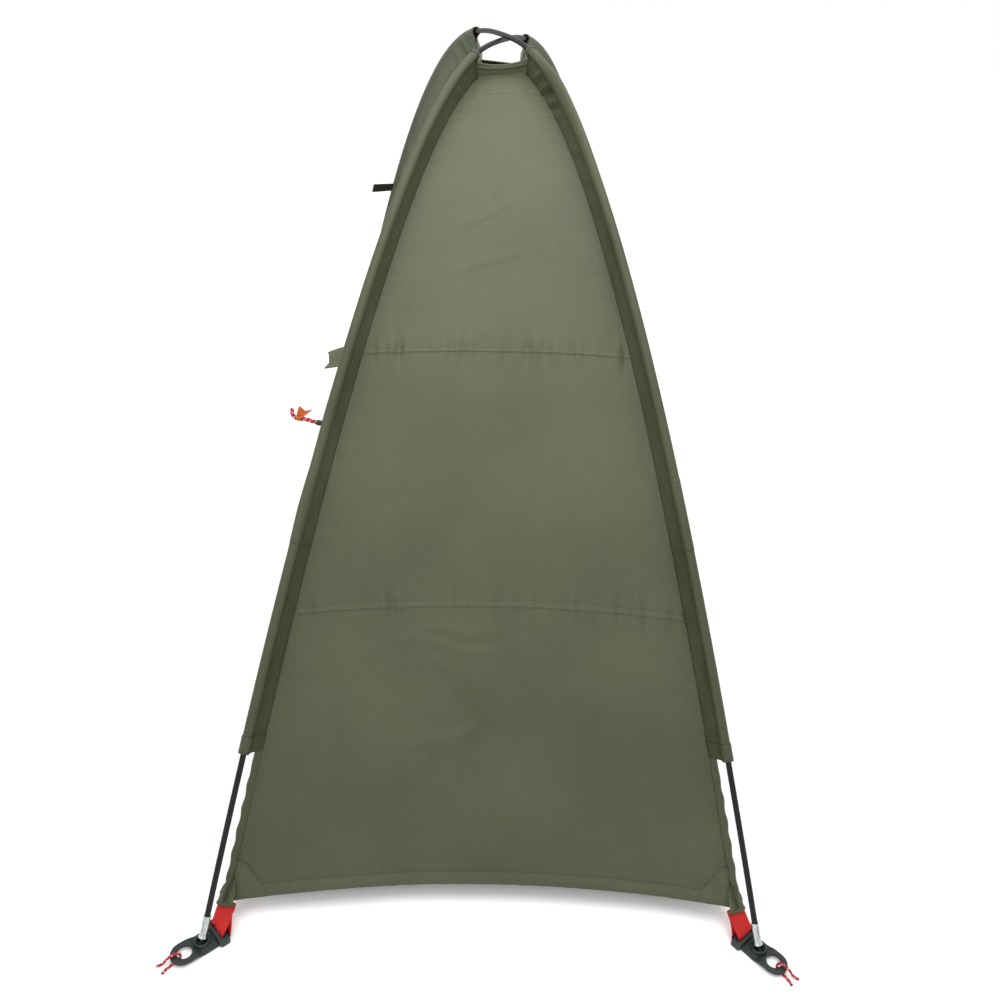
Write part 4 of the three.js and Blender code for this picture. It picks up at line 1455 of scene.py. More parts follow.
@dataclass
class Pole:
    """One shock-corded pole from its start corner, through the crossing, to the opposite one."""

    letter: str
    start: Corner
    end: Corner
    finishes: Finishes
    radius: float = 4.25 * MM
    bore: float = 2.8 * MM
    sections: int = 5
    socket: float = 12.4 * MM
    ferrule_half: float = 30.0 * MM

    def __post_init__(self) -> None:
        """Measures the pole's line."""
        shares = np.linspace(-1.0, 1.0, 801)
        points = np.where(
            shares[:, None] < 0, LINES.pole(self.start, -shares), LINES.pole(self.end, shares)
        )
        self.line = (run_length(points), points)
        self.total = float(self.line[0][-1])

    def stations(self, begin: float, finish: float, count: int) -> tuple[Array, Array, Array]:
        """Returns points, and two directions square to the pole, between two lengths."""
        at = np.linspace(begin, finish, count)
        lengths, points = self.line
        centres = np.stack([np.interp(at, lengths, points[:, k]) for k in range(3)], axis=1)
        level = unit(np.array([self.start.y * LINES.foot_length, -self.start.x * LINES.foot_width, 0.0]))
        along = unit(np.gradient(centres, axis=0))
        side = np.broadcast_to(level, centres.shape)
        return centres, side, np.cross(along, side)

    def tube(
        self,
        name: str,
        begin: float,
        finish: float,
        count: int,
        radius: float,
        bore: float,
        material: Material,
    ) -> Piece:
        """Sweeps a tube with slightly eased ends along the pole."""
        centres, side, up = self.stations(begin, finish, count)
        sides = 20
        outer = np.repeat(ring(radius, sides)[None], count, axis=0)
        outer[[0, -1]] *= 1 - 0.3 * MM / radius
        inner = ring(bore, sides) if bore else None
        if inner is not None:
            inner = np.repeat(inner[None], count, axis=0)
        return swept_object(name, centres, side, up, outer, material, inner)

    def build(self) -> None:
        """Builds the tube sections, the ferrules that join them and the elastic cord inside."""
        joints = np.linspace(self.socket, self.total - self.socket, self.sections + 1)
        for i in range(self.sections):
            name = f"pole_{self.letter}_section_{i + 1}"
            ends = (joints[i] + 0.2 * MM, joints[i + 1] - 0.2 * MM)
            tube = self.tube(f"{name}_tube", *ends, 42, self.radius, self.bore, self.finishes.pole)
            seat(tube, CANOPY, "pole", name)
        for i in range(1, self.sections):
            name = f"pole_{self.letter}_ferrule_{i}"
            ends = (joints[i] - self.ferrule_half, joints[i] + self.ferrule_half)
            tube = self.tube(f"{name}_tube", *ends, 9, 5.5 * MM, 4.6 * MM, self.finishes.ferrule)
            seat(tube, CANOPY, "ferrule", name)
        name = f"shock_cord_{self.letter}"
        ends = (joints[0] + 4 * MM, joints[-1] - 4 * MM)
        elastic = self.tube(f"{name}_braid", *ends, 120, 1.5 * MM, 0.0, self.finishes.elastic)
        seat(elastic, CANOPY, "elastic", name)

    def build_tip(self, corner: Corner) -> None:
        """Turns the metal end of one leg: a pin, a flared shoulder and a split socket."""
        profile = [
            (0, -3), (1.0, -2.8), (1.9, -1.9), (2.5, -0.6), (2.5, 3.0), (2.8, 3.6), (5.6, 5.0), (6.3, 5.6),
            (6.45, 6.3), (6.3, 7.1), (5.6, 8.0), (5.3, 9.2), (5.3, 32.4), (5.05, 33.0), (5.05, 33.8),
            (5.3, 34.4), (5.3, 37.5), (5.1, 38.0), (4.75, 38.0), (4.65, 37.6), (4.65, 12.0), (0, 12.0),
        ]
        barrel = lathe_object("barrel", [(r * MM, h * MM) for r, h in profile], 32, None)
        slit_outline = [
            (3.0 * MM, -0.35 * MM), (8.0 * MM, -0.35 * MM), (8.0 * MM, 0.35 * MM), (3.0 * MM, 0.35 * MM)
        ]
        slit = cut_plate(slit_outline, [], 14.5 * MM, 40.0 * MM, 0.02 * MM)
        mesh = united(f"pole_tip_{corner.name}_turned", [barrel], [slit])
        axis = -LINES.tangent(corner, 1.0)
        forward = np.array([0.35 * corner.x, -1.0, 0.0])
        toward = unit(forward - axis * (forward @ axis))
        turn = Matrix((toward, np.cross(axis, toward), axis)).transposed().to_4x4()
        mesh.transform(Matrix.Translation(LINES.pole(corner, 1.0)) @ turn)
        tip = new_object(mesh.name, mesh, self.finishes.tip)
        seat(tip, CANOPY, "pole_tip", f"pole_tip_{corner.name}")


# ---------- feet ----------


@dataclass
class Foot:
    """A peg plate with its strap and its cord, in its own frame at the pole tip."""

    corner: Corner
    finishes: Finishes
    strap_width: float = 30.0 * MM
    strap_thickness: float = 1.4 * MM
    cord_radius: float = 1.9 * MM
    cord_route: tuple = (
        (64, -6.6, 1.9), (60, -5, 1.9), (55, -3.5, 1.9), (47, -2.5, 1.9), (38, -1.5, 2.0),
        (33.5, -1, 4.8), (33, 0, 8.6), (35, 1, 12.3), (39.5, 2, 13.3), (45, 3, 12.8),
        (50, 4, 10.4), (53.5, 5, 6.6), (57, 6.2, 3.4), (61, 7.6, 2.1), (65, 9, 1.9),
    )

    def __post_init__(self) -> None:
        """Sets the foot's frame."""
        angle = math.radians(self.corner.toe)
        self.out = np.array([self.corner.x * math.cos(angle), self.corner.y * math.sin(angle), 0.0])
        self.side = np.cross(UP, self.out)
        self.tip = LINES.pole(self.corner, 1.0) * np.array([1.0, 1.0, 0.0])

    def at(self, u: float, v: float, z: float) -> Array:
        """Returns a point of the foot's frame, given in millimetres."""
        return self.tip + (self.out * u + self.side * v + UP * z) * MM

    def build_cord(self) -> None:
        """Threads the short cord round the peg ring."""
        flip = -self.corner.x * self.corner.y
        route = np.array([self.at(u, v * flip, z) for u, v, z in self.cord_route])
        line = smooth_route(route, 90)
        side, up = carried_frames(line, UP)
        name = f"peg_cord_{self.corner.name}"
        cord = swept_object(
            f"{name}_braid", line, side, up, ring(self.cord_radius, 12), self.finishes.peg_cord
        )
        seat(cord, self.corner.foot, "cord", name)

    def build_strap(self) -> None:
        """Threads the strap through the plate's slot and up to the canopy's corner, doubled."""
        corner = self.corner
        toward = LINES.fin_direction(corner, LINES.corner_share)
        seam_low = LINES.seam(corner, np.array(1.0)) - toward * 0.4 * MM
        seam_high = seam_low + UP * 1.6 * MM
        edgewise = unit(np.array([corner.x, -corner.y, 0.0], float))
        if edgewise @ self.side < 0:
            edgewise = -edgewise
        inner = np.cross(edgewise, unit(seam_high - self.at(-28, 0, 16)))
        if inner @ self.out > 0:
            inner = -inner
        stops = [
            (seam_high, 1.0), (seam_low, 1.0), (mix(seam_low, self.at(-28, 0, 17), 0.6), 0.45),
            (self.at(-27.2, 0, 16.4), 0.1), (self.at(-25.4, 0, 12.5), 0.0), (self.at(-25.2, 0, 7), 0.0),
            (self.at(-26.2, 0, 2.6), 0.0), (self.at(-29.6, 0, 1.2), 0.0), (self.at(-34, 0, 1.4), 0.0),
            (self.at(-36.4, 0, 4.2), 0.0), (self.at(-37.0, 0, 9.5), 0.0), (self.at(-38.4, 0, 15.5), 0.15),
            (mix(seam_low, self.at(-28, 0, 17), 0.5) + inner * 4 * MM, 0.5),
            (seam_low + inner * 2.2 * MM, 1.0), (seam_high + inner * 2.2 * MM, 1.0),
        ]
        line = smooth_route(np.array([p for p, _ in stops]), 110)
        reach = run_length(np.array([p for p, _ in stops]))
        turned = np.interp(np.linspace(0, reach[-1], len(line)), reach, [w for _, w in stops])
        along = unit(np.gradient(line, axis=0))
        side = mix(self.side[None, :], edgewise[None, :], turned[:, None])
        side = unit(side - along * (side * along).sum(axis=1, keepdims=True))
        name = f"corner_webbing_{corner.name}"
        section = rounded_bar(self.strap_width, self.strap_thickness, spread=10)
        strap = swept_object(
            f"{name}_strap", line, side, np.cross(along, side), section, self.finishes.strap
        )
        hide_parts(name)
        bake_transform(strap)
        fall = unit(self.at(-28, 0, 17) - seam_low)
        stops = [
            LINES.seam(corner, np.array(0.982)) - toward * 1.2 * MM,
            seam_low - toward * 2.4 * MM + UP * 6 * MM,
            seam_low - toward * 2.9 * MM, seam_low - toward * 2.6 * MM + fall * 8 * MM,
        ]
        line = smooth_route(np.array(stops), 24)
        along = unit(np.gradient(line, axis=0))
        side = np.broadcast_to(edgewise, line.shape)
        side = unit(side - along * (side * along).sum(axis=1, keepdims=True))
        widths = np.interp(np.linspace(0, 1, 24), [0, 0.35, 0.75, 0.93, 1.0], [12, 26, 34, 32, 22])
        sections = np.array([rounded_bar(w * MM, 1.7 * MM) for w in widths])
        name = f"corner_tongue_{corner.name}"
        tongue = swept_object(name, line, side, np.cross(along, side), sections, self.finishes.binding)
        seat(tongue, CANOPY, "canopy_cloth")

    def plate_mesh(self) -> Mesh:
        """Returns the moulded plate: a lifted peg ring, a cupped boss and a slotted bar."""
        nose = [
            (27.5 + 19.5 * math.cos(a), 18 * math.sin(a))
            for a in np.linspace(-math.pi / 2, math.pi / 2, 25)
        ]
        outline = [(x * MM, y * MM) for x, y in [(-31, -16.8), *nose, (-31, 16.8)]]
        hole = [(x * MM, y * MM) for x, y in arc((26.5, 0), 10.5, 0, 352.5, 47)]
        plate = cut_plate(outline, [hole], 0.0, 5 * MM, 1.3 * MM)
        work = bmesh.new()
        work.from_mesh(plate.data)
        for cut in np.linspace(2.0, 15.5, 12):
            geometry = [*work.verts, *work.edges, *work.faces]
            bmesh.ops.bisect_plane(work, geom=geometry, plane_co=(cut * MM, 0, 0), plane_no=(1, 0, 0))
        for vertex in work.verts:
            vertex.co.z += 4.4 * MM * float(smooth(np.array(vertex.co.x), 2.0 * MM, 19.0 * MM))
        work.to_mesh(plate.data)
        work.free()
        boss = [
            (0, 0.5), (11.3, 0.5), (11.3, 10.3), (10.9, 11.4), (10.0, 12.0), (9.2, 12.0), (8.5, 11.6),
            (8.1, 10.8), (5.4, 5.6), (4.6, 5.2), (0, 5.2),
        ]
        cup = lathe_object("boss", [(r * MM, z * MM) for r, z in boss], 40, None)
        flange = [(0, 0.6), (14.2, 0.6), (14.2, 5.2), (13.2, 6.0), (11.6, 6.4), (10.4, 6.4), (0, 5.1)]
        foot = lathe_object("boss_foot", [(r * MM, z * MM) for r, z in flange], 40, None)
        bar = cut_plate(
            round_block(-34 * MM, -18 * MM, -22 * MM, 22 * MM, 3.4 * MM), [], 0.0, 12 * MM, 1.6 * MM
        )
        slot = cut_plate(
            round_block(-28.2 * MM, -22.3 * MM, -16.6 * MM, 16.6 * MM, 1.2 * MM),
            [],
            -5 * MM,
            20 * MM,
            0.05 * MM,
        )
        relief = cut_plate(
            round_block(-40 * MM, -26 * MM, -16.6 * MM, 16.6 * MM, 1.2 * MM), [], -5 * MM, 3 * MM, 0.4 * MM
        )
        bore = lathe_object(
            "bore",
            [(0, 5.2 * MM), (5.0 * MM, 5.2 * MM), (8.1 * MM, 10.8 * MM), (8.1 * MM, 14 * MM), (0, 14 * MM)],
            40,
            None,
        )
        return united("moulded_plate", [plate, foot, cup, bar], [slot, relief, bore])

    def build_plate(self, mesh: Mesh) -> None:
        """Places a copy of the moulded plate at this corner."""
        name = f"peg_plate_{self.corner.name}"
        copy = mesh.copy()
        copy.name = f"{name}_moulding"
        turn = Matrix((self.out, self.side, UP)).transposed().to_4x4()
        copy.transform(Matrix.Translation(self.tip) @ turn)
        seat(new_object(copy.name, copy, self.finishes.plate), self.corner.foot, "peg_plate", name)


# ---------- the left side, its door and its zip ----------


@dataclass
class LeftSide:
    """The side with the door: cloth above it, a strip before it and one sheet behind it."""

    canopy: Canopy
    panel: Panel
    door_top: float = 0.575
    door_foot: float = 0.985
    hinge_y: float = -0.150
    zip_inset: float = 27.0 * MM
    edge_gap: float = 3.2 * MM
    hinge_reach: float = 0.045

    def __post_init__(self) -> None:
        """Works out the zip's and the hinge's lines."""

        def side(u: float, place: float) -> Array:
            """Returns a point of the panel."""
            return self.panel.rest(np.array(u), np.array(place))

        def share_at(place: float) -> float:
            """Returns how far across the panel the hinge lies."""
            start, end = side(0.0, place)[1], side(1.0, place)[1]
            return (self.hinge_y - start) / (end - start)

        inset = np.array([0.0, self.zip_inset, 0.0])
        seam_gap = np.array([0.0, 2.0 * MM, 0.0])
        self.zip_top = side(1.0, self.door_top) + inset + seam_gap
        self.zip_foot = side(1.0, self.door_foot) + inset + seam_gap
        self.hinge_top = side(share_at(self.door_top), self.door_top)
        self.hinge_foot = side(share_at(self.door_foot), self.door_foot)
        self.zip_along = unit(self.zip_foot - self.zip_top)
        out = unit(np.cross(self.hinge_top - self.zip_top, self.zip_along))
        self.zip_out = out if out[0] < 0 else -out
        across = unit(np.cross(self.zip_out, self.zip_along))
        self.zip_across = across if across[1] > 0 else -across

    def zip_point(self, v: Array) -> Array:
        """Returns points down the zip, from 0 to 1."""
        return mix(self.zip_top, self.zip_foot, np.asarray(v, float)[..., None])

    def hinge_point(self, v: Array) -> Array:
        """Returns points down the line where the door is sewn on."""
        return mix(self.hinge_top, self.hinge_foot, np.asarray(v, float)[..., None])

    def ripple(self, along: Array, down: Array) -> Array:
        """Returns the slack waves of the unstretched lower cloth."""
        waves = 2.0 * MM * np.sin(2 * math.pi * (along / 0.31 + down / 0.23))
        waves = waves + 1.5 * MM * np.sin(2 * math.pi * (along / 0.17 - down / 0.41) + 1.3)
        return waves + 0.8 * MM * np.sin(2 * math.pi * (along / 0.07 + down / 0.9) + 0.4)

    def lower_grid(self, across: Array, v: Array, lift: float = 0.0) -> Array:
        """Returns the cloth from the rear seam, over the door's sewn line, to the zip.

        Args:
            across: 0 at the rear seam, 1 on the sewn line and 2 at the zip.
            v: 0 at the door's top and 1 at its foot.
            lift: Distance outside the cloth.

        Returns:
            A grid of points, one row for each v.
        """
        a, v = np.meshgrid(across, v)
        behind = np.clip(a, 0, 1)
        before = np.clip(a - 1, 0, 1)
        hinge = self.hinge_point(v)
        seam = self.panel.rest(np.zeros_like(v), mix(self.door_top, 1.0, v))
        depth = 0.6 * self.panel.sag * np.linalg.norm(seam - hinge, axis=-1) * bow(behind)
        free = self.zip_point(v) + self.zip_across * self.edge_gap
        points = mix(seam, hinge, behind[..., None])
        points = points + np.array([1.0, 0.0, 0.0]) * depth[..., None]
        points = np.where((a > 1)[..., None], mix(hinge, free, before[..., None]), points)
        along = mix(0.0, 0.9, a / 2)
        fade = np.clip(np.minimum(a, 2 - a) / 0.12, 0, 1) * np.clip(np.minimum(v, 1 - v) / 0.08, 0, 1)
        return points + self.zip_out * (self.ripple(along, v * 0.65) * fade + lift)[..., None]

    def strip_grid(self, us: Array, v: Array, lift: float = 0.0) -> Array:
        """Returns the strip of cloth between the zip and the front corner seam."""
        u, v = np.meshgrid(us, v)
        edge = self.zip_point(v) - self.zip_across * self.edge_gap
        seam = self.panel.rest(np.ones_like(v), mix(self.door_top, 1.0, v))
        return mix(edge, seam, u[..., None]) + self.zip_out * lift

    def build(self) -> None:
        """Builds the cloth, its hems and seam, and the facings along the zip."""
        finishes = self.canopy.finishes
        panel = self.panel
        us = np.linspace(0.0, 1.0, 161)
        edge = self.door_top - 0.0015
        places = np.concatenate([np.linspace(-1.0, 0.0, 7)[:-1], np.linspace(0.0, edge, 101)])
        points = panel.grid(us, places)
        top = grid_object("left_panel_top_cloth", points, finishes.cloth)
        seat(top, CANOPY, "canopy_cloth", "left_panel_top")
        inner = np.linspace(0.001, 0.999, 181)
        hem = panel.hem_depth / panel.length
        self.canopy.band(
            "left_panel_top_hem", panel, inner, np.linspace(edge - hem, edge, 5), 0.0, 2.2 * MM
        )
        self.canopy.band("left_panel_collar", panel, inner, np.linspace(-1.0, -0.58, 5), 0.0, 2.2 * MM)
        rows = [panel.row(p, inner, 1.25 * MM) for p in (edge - 0.2 * hem, edge - 0.85 * hem, -0.66)]
        self.canopy.stitch("left_panel_top_stitches", rows)
        for i, place in enumerate((0.3,), 1):
            fold = 5.0 * MM / panel.length
            self.canopy.band(
                f"left_panel_seam_{i}",
                panel,
                inner,
                np.linspace(place - fold, place + fold, 5),
                0.35 * MM,
                1.7 * MM,
            )
            sewn = [panel.row(place + s * 0.62 * fold, inner, 1.3 * MM) for s in (-1, 1)]
            self.canopy.stitch(f"left_panel_seam_{i}_stitches", sewn)
        self.build_strip()
        self.build_lower()

    def build_strip(self) -> None:
        """Builds the strip in front of the zip."""
        finishes = self.canopy.finishes
        v = np.linspace(0.0, 1.0, 121)
        points = self.strip_grid(np.linspace(0, 1, 13), v)
        strip = grid_object("left_panel_front_cloth", points, finishes.cloth)
        seat(strip, CANOPY, "canopy_cloth", "left_panel_front")
        facing = grid_object(
            "zip_facing_front", self.strip_grid(np.linspace(-0.01, 0.3, 4), v), finishes.binding, 1.9 * MM
        )
        seat(facing, CANOPY, "canopy_cloth")
        hem = grid_object(
            "left_panel_front_hem",
            self.strip_grid(np.linspace(0, 0.98, 9), np.linspace(0.977, 1.001, 4)),
            finishes.binding,
            2.3 * MM,
        )
        seat(hem, CANOPY, "canopy_cloth")
        up = np.broadcast_to(self.zip_out, (len(v), 3))
        lines = [(self.strip_grid(np.array([u]), v, 1.05 * MM)[:, 0], up) for u in (0.06, 0.25)]
        self.canopy.stitch("zip_facing_front_stitches", lines)

    def build_lower(self) -> None:
        """Builds the rear cloth and the door as one sheet that bends at the sewn line."""
        finishes = self.canopy.finishes
        across = np.concatenate([np.linspace(0, 1, 110)[:-1], np.linspace(1, 2, 90)])
        v = np.linspace(0.0, 1.0, 120)
        points = self.lower_grid(across, v)
        cloth = grid_object("door_and_rear_cloth", points, finishes.cloth)
        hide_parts("left_panel_rear", "door_flap")
        self.bend(cloth)
        end_gap = 15 * MM / 0.65
        bands = {
            "door_top_hem": (across, np.linspace(0.0, end_gap, 5)),
            "door_bottom_hem": (across, np.linspace(1 - end_gap, 1.001, 5)),
        }
        rows = []
        for name, (a, vs) in bands.items():
            band = grid_object(name, self.lower_grid(a, vs), finishes.binding, 2.2 * MM)
            self.bend(band)
            rows += [self.hem_row(a, mix(vs[0], vs[-1], share)) for share in (0.2, 0.85)]
        thread = self.canopy.setter.lay(
            "door_hem_stitches", rows, self.canopy.stitch_pitch, self.canopy.stitch_half, finishes.thread
        )
        self.bend(thread)
        facing = grid_object(
            "zip_facing_door", self.lower_grid(np.linspace(1.965, 2.0, 4), v), finishes.binding, 1.9 * MM
        )
        seat(facing, DOOR, "canopy_cloth")
        up = np.broadcast_to(self.zip_out, (len(v), 3))
        lines = [(self.lower_grid(np.array([a]), v, 1.05 * MM)[:, 0], up) for a in (1.994, 1.971)]
        self.canopy.stitch("zip_facing_door_stitches", lines, DOOR)

    def hem_row(self, across: Array, v: float) -> tuple[Array, Array]:
        """Returns a line of stitches along a hem of the lower cloth."""
        line = self.lower_grid(across, np.array([v]), 1.2 * MM)[0]
        return line, np.broadcast_to(self.zip_out, line.shape)

    def bend(self, piece: Piece) -> None:
        """Bakes a piece's placement into its mesh. It works out the sewn line's middle and directions but
        bends nothing.
        """
        middle = (self.hinge_top + self.hinge_foot) / 2
        axis = unit(self.hinge_foot - self.hinge_top)
        forward = unit(self.zip_point(np.array(0.5)) - middle)
        forward = unit(forward - axis * (forward @ axis))
        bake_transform(piece)


@dataclass
class Zip:
    """The zip: two tapes with coiled teeth, a slider, a corded pull and its coloured tab."""

    side: LeftSide
    finishes: Finishes
    setter: LineSetter
    pull_radius: float = 2.3 * MM
    pull_route: tuple = (
        (24.5, 1.9), (28, 2), (32, 1.8), (36, 1.6), (44, 1.7), (51, 2.2), (58, 2), (64, 0.8),
        (69.5, 1.2), (74, 4.2), (76.6, 9), (77, 13.5),
    )

    def point(self, out: float, up: float, across: float = 0.0) -> Array:
        """Returns a point measured in millimetres from the slider's middle."""
        middle = self.side.zip_top + self.side.zip_along * 9.5 * MM
        return middle + (
            self.side.zip_out * out - self.side.zip_along * up + self.side.zip_across * across
        ) * MM

    def placed(self, mesh: Mesh, name: str, material: Material) -> Piece:
        """Moves a mesh made flat, with X across the zip and Z outwards, to the slider's place."""
        rows = (self.side.zip_across, np.cross(self.side.zip_out, self.side.zip_across), self.side.zip_out)
        mesh.transform(Matrix.Translation(self.point(0, 0)) @ Matrix(rows).transposed().to_4x4())
        mesh.name = name
        return new_object(name, mesh, material)

    def build(self) -> None:
        """Builds both halves, the slider and the pull."""
        v = np.linspace(0.0, 1.0, 60)
        out = np.broadcast_to(self.side.zip_out, (len(v), 3))
        sideways = np.broadcast_to(self.side.zip_across, (len(v), 3))
        for sign, body, name, replaced in ((-1, CANOPY, "front", ["zip_track"]), (1, DOOR, "door", [])):
            aside = self.side.zip_across * sign * 7.2 * MM - self.side.zip_out * 1.5 * MM
            centre = self.side.zip_point(v) + aside
            tape = swept_object(
                f"zip_tape_{name}",
                centre,
                sideways,
                out,
                rounded_bar(13 * MM, 0.9 * MM),
                self.finishes.tape,
            )
            seat(tape, body, "zip", *replaced)
            middle = self.side.zip_point(v) + self.side.zip_across * sign * 1.35 * MM
            half = (0.55 * MM, 1.75 * MM, 1.15 * MM)
            coil = self.setter.lay(f"zip_coil_{name}", [(middle, out)], 1.5 * MM, half, self.finishes.coil)
            seat(coil, body, "zip")
        self.build_slider()
        self.build_pull()

    def build_slider(self) -> None:
        """Builds the slider: two shields, the crown that joins them and the pull's bail."""
        shield = [(-3.2, 7.5), (-4.4, 5.6), (-4.2, -1.0), (-3.0, -6.2), (-2.2, -7.5), (2.2, -7.5)]
        shield += [(3.0, -6.2), (4.2, -1.0), (4.4, 5.6), (3.2, 7.5)]
        outline = [(x * MM, y * MM) for x, y in shield]
        upper = cut_plate(outline, [], 1.7 * MM, 3.5 * MM, 0.5 * MM)
        lower = cut_plate(outline, [], -3.4 * MM, -2.2 * MM, 0.4 * MM)
        post = cut_plate(
            round_block(-0.9 * MM, 0.9 * MM, 3.4 * MM, 7.0 * MM, 0.6 * MM),
            [],
            -3.0 * MM,
            2.4 * MM,
            0.2 * MM,
        )
        crown = cut_plate(
            round_block(-2.0 * MM, 2.0 * MM, -5.6 * MM, 5.6 * MM, 1.2 * MM),
            [],
            3.0 * MM,
            5.6 * MM,
            0.7 * MM,
        )
        angles = np.linspace(-0.22 * math.pi, 1.22 * math.pi, 33)
        line = np.stack([0 * angles, 4.2 * np.cos(angles), 7.9 + 4.2 * np.sin(angles)], axis=-1) * MM
        side = np.broadcast_to(np.array([1.0, 0.0, 0.0]), line.shape)
        along = unit(np.gradient(line, axis=0))
        bail = swept_object(
            "bail", line, side, np.cross(along, side), ring(1.1 * MM, 12), self.finishes.slider
        )
        mesh = united("slider_casting", [upper, lower, post, crown, bail])
        casting = self.placed(mesh, "zip_slider_casting", self.finishes.slider)
        seat(casting, SLIDER, "zip_slider", "zip_slider")

    def build_pull(self) -> None:
        """Builds the doubled cord and the swallow-tailed tab on it."""
        route = np.array([self.point(out, up) for out, up in self.pull_route])
        line = smooth_route(route, 120)
        side, up = carried_frames(line, self.side.zip_across)
        angles = np.arange(20) * 2 * math.pi / 20
        waist = 1 - 0.42 * np.cos(angles) ** 4
        section = np.stack([np.cos(angles) * waist * 0.86, np.sin(angles) * 1.3], axis=-1)
        section = section * self.pull_radius
        cord = swept_object("zip_pull_cord_braid", line, side, up, section, self.finishes.pull_cord)
        seat(cord, PULL, "cord", "zip_pull_cord")
        near = [
            (15.6 - 3.9 * math.cos(a), 3.9 * math.sin(a))
            for a in np.linspace(0.05 * math.pi, 0.5 * math.pi, 12)
        ]
        far = [(24.6 + 3.9 * math.sin(a), 3.9 * math.cos(a)) for a in np.linspace(0.0, math.pi, 24)]
        back = [(x, -y) for x, y in reversed(near)]
        hoop = np.array([self.point(x, 0.5 + 0.06 * (x - 12), y) for x, y in [*near, *far, *back]])
        upright = np.broadcast_to(-self.side.zip_along, hoop.shape)
        inward = np.cross(unit(np.gradient(hoop, axis=0)), upright)
        link = swept_object(
            "zip_pull_link", hoop, upright, inward, ring(1.25 * MM, 12), self.finishes.slider
        )
        seat(link, PULL, "zip_slider")
        near, far = int(0.07 * len(line)), int(0.23 * len(line))
        girth = 1.0 + 0.28 * np.sin(math.pi * np.linspace(0, 1, far - near)) ** 0.5
        rounds = ring(3.2 * MM, 16)[None] * girth[:, None, None]
        bead = swept_object(
            "zip_pull_bead", line[near:far], side[near:far], up[near:far], rounds, self.finishes.slider
        )
        seat(bead, PULL, "zip_slider")
        left = np.array([[68.8, 2.4], [68.9, 10.0], [67.8, 19.6]])
        right = np.array([[60.2, 2.4], [55.0, 9.6], [48.2, 18.4]])
        t, c = np.meshgrid(np.linspace(0, 1, 15), np.linspace(0, 1, 17), indexing="ij")
        edges = [
            np.stack([np.interp(t, [0, 0.5, 1], e[:, k]) for k in (0, 1)], axis=-1) for e in (left, right)
        ]
        flat = mix(edges[0], edges[1], c[..., None])
        flat[..., 1] -= 4.6 * t**3 * (1 - np.abs(2 * c - 1))
        curl = 3.0 * np.sin(math.pi * (c - 0.15)) * t**1.5 - 1.2 * t + 2.8 * (1 - t) ** 6
        points = self.point(0, 0) + MM * (
            flat[..., 0:1] * self.side.zip_out
            - flat[..., 1:2] * self.side.zip_along
            + curl[..., None] * self.side.zip_across
        )
        tab = grid_object("zip_pull_tab_tape", points, self.finishes.tab, 0.9 * MM)
        seat(tab, PULL, "pull_tab", "zip_pull_tab")
        around = np.linspace(0.12 * math.pi, 1.95 * math.pi, 26)
        centre = self.point(64.4, 0.9)
        turned = (math.sin(a) * self.side.zip_across - math.cos(a) * -self.side.zip_along for a in around)
        loop = np.array([centre + way * 3.0 * MM for way in turned])
        bandwise = np.broadcast_to(self.side.zip_out, loop.shape)
        along = unit(np.gradient(loop, axis=0))
        wrap = swept_object(
            "zip_pull_tab_loop",
            loop,
            bandwise,
            np.cross(along, bandwise),
            rounded_bar(8 * MM, 0.9 * MM),
            self.finishes.tab,
        )
        seat(wrap, PULL, "pull_tab")


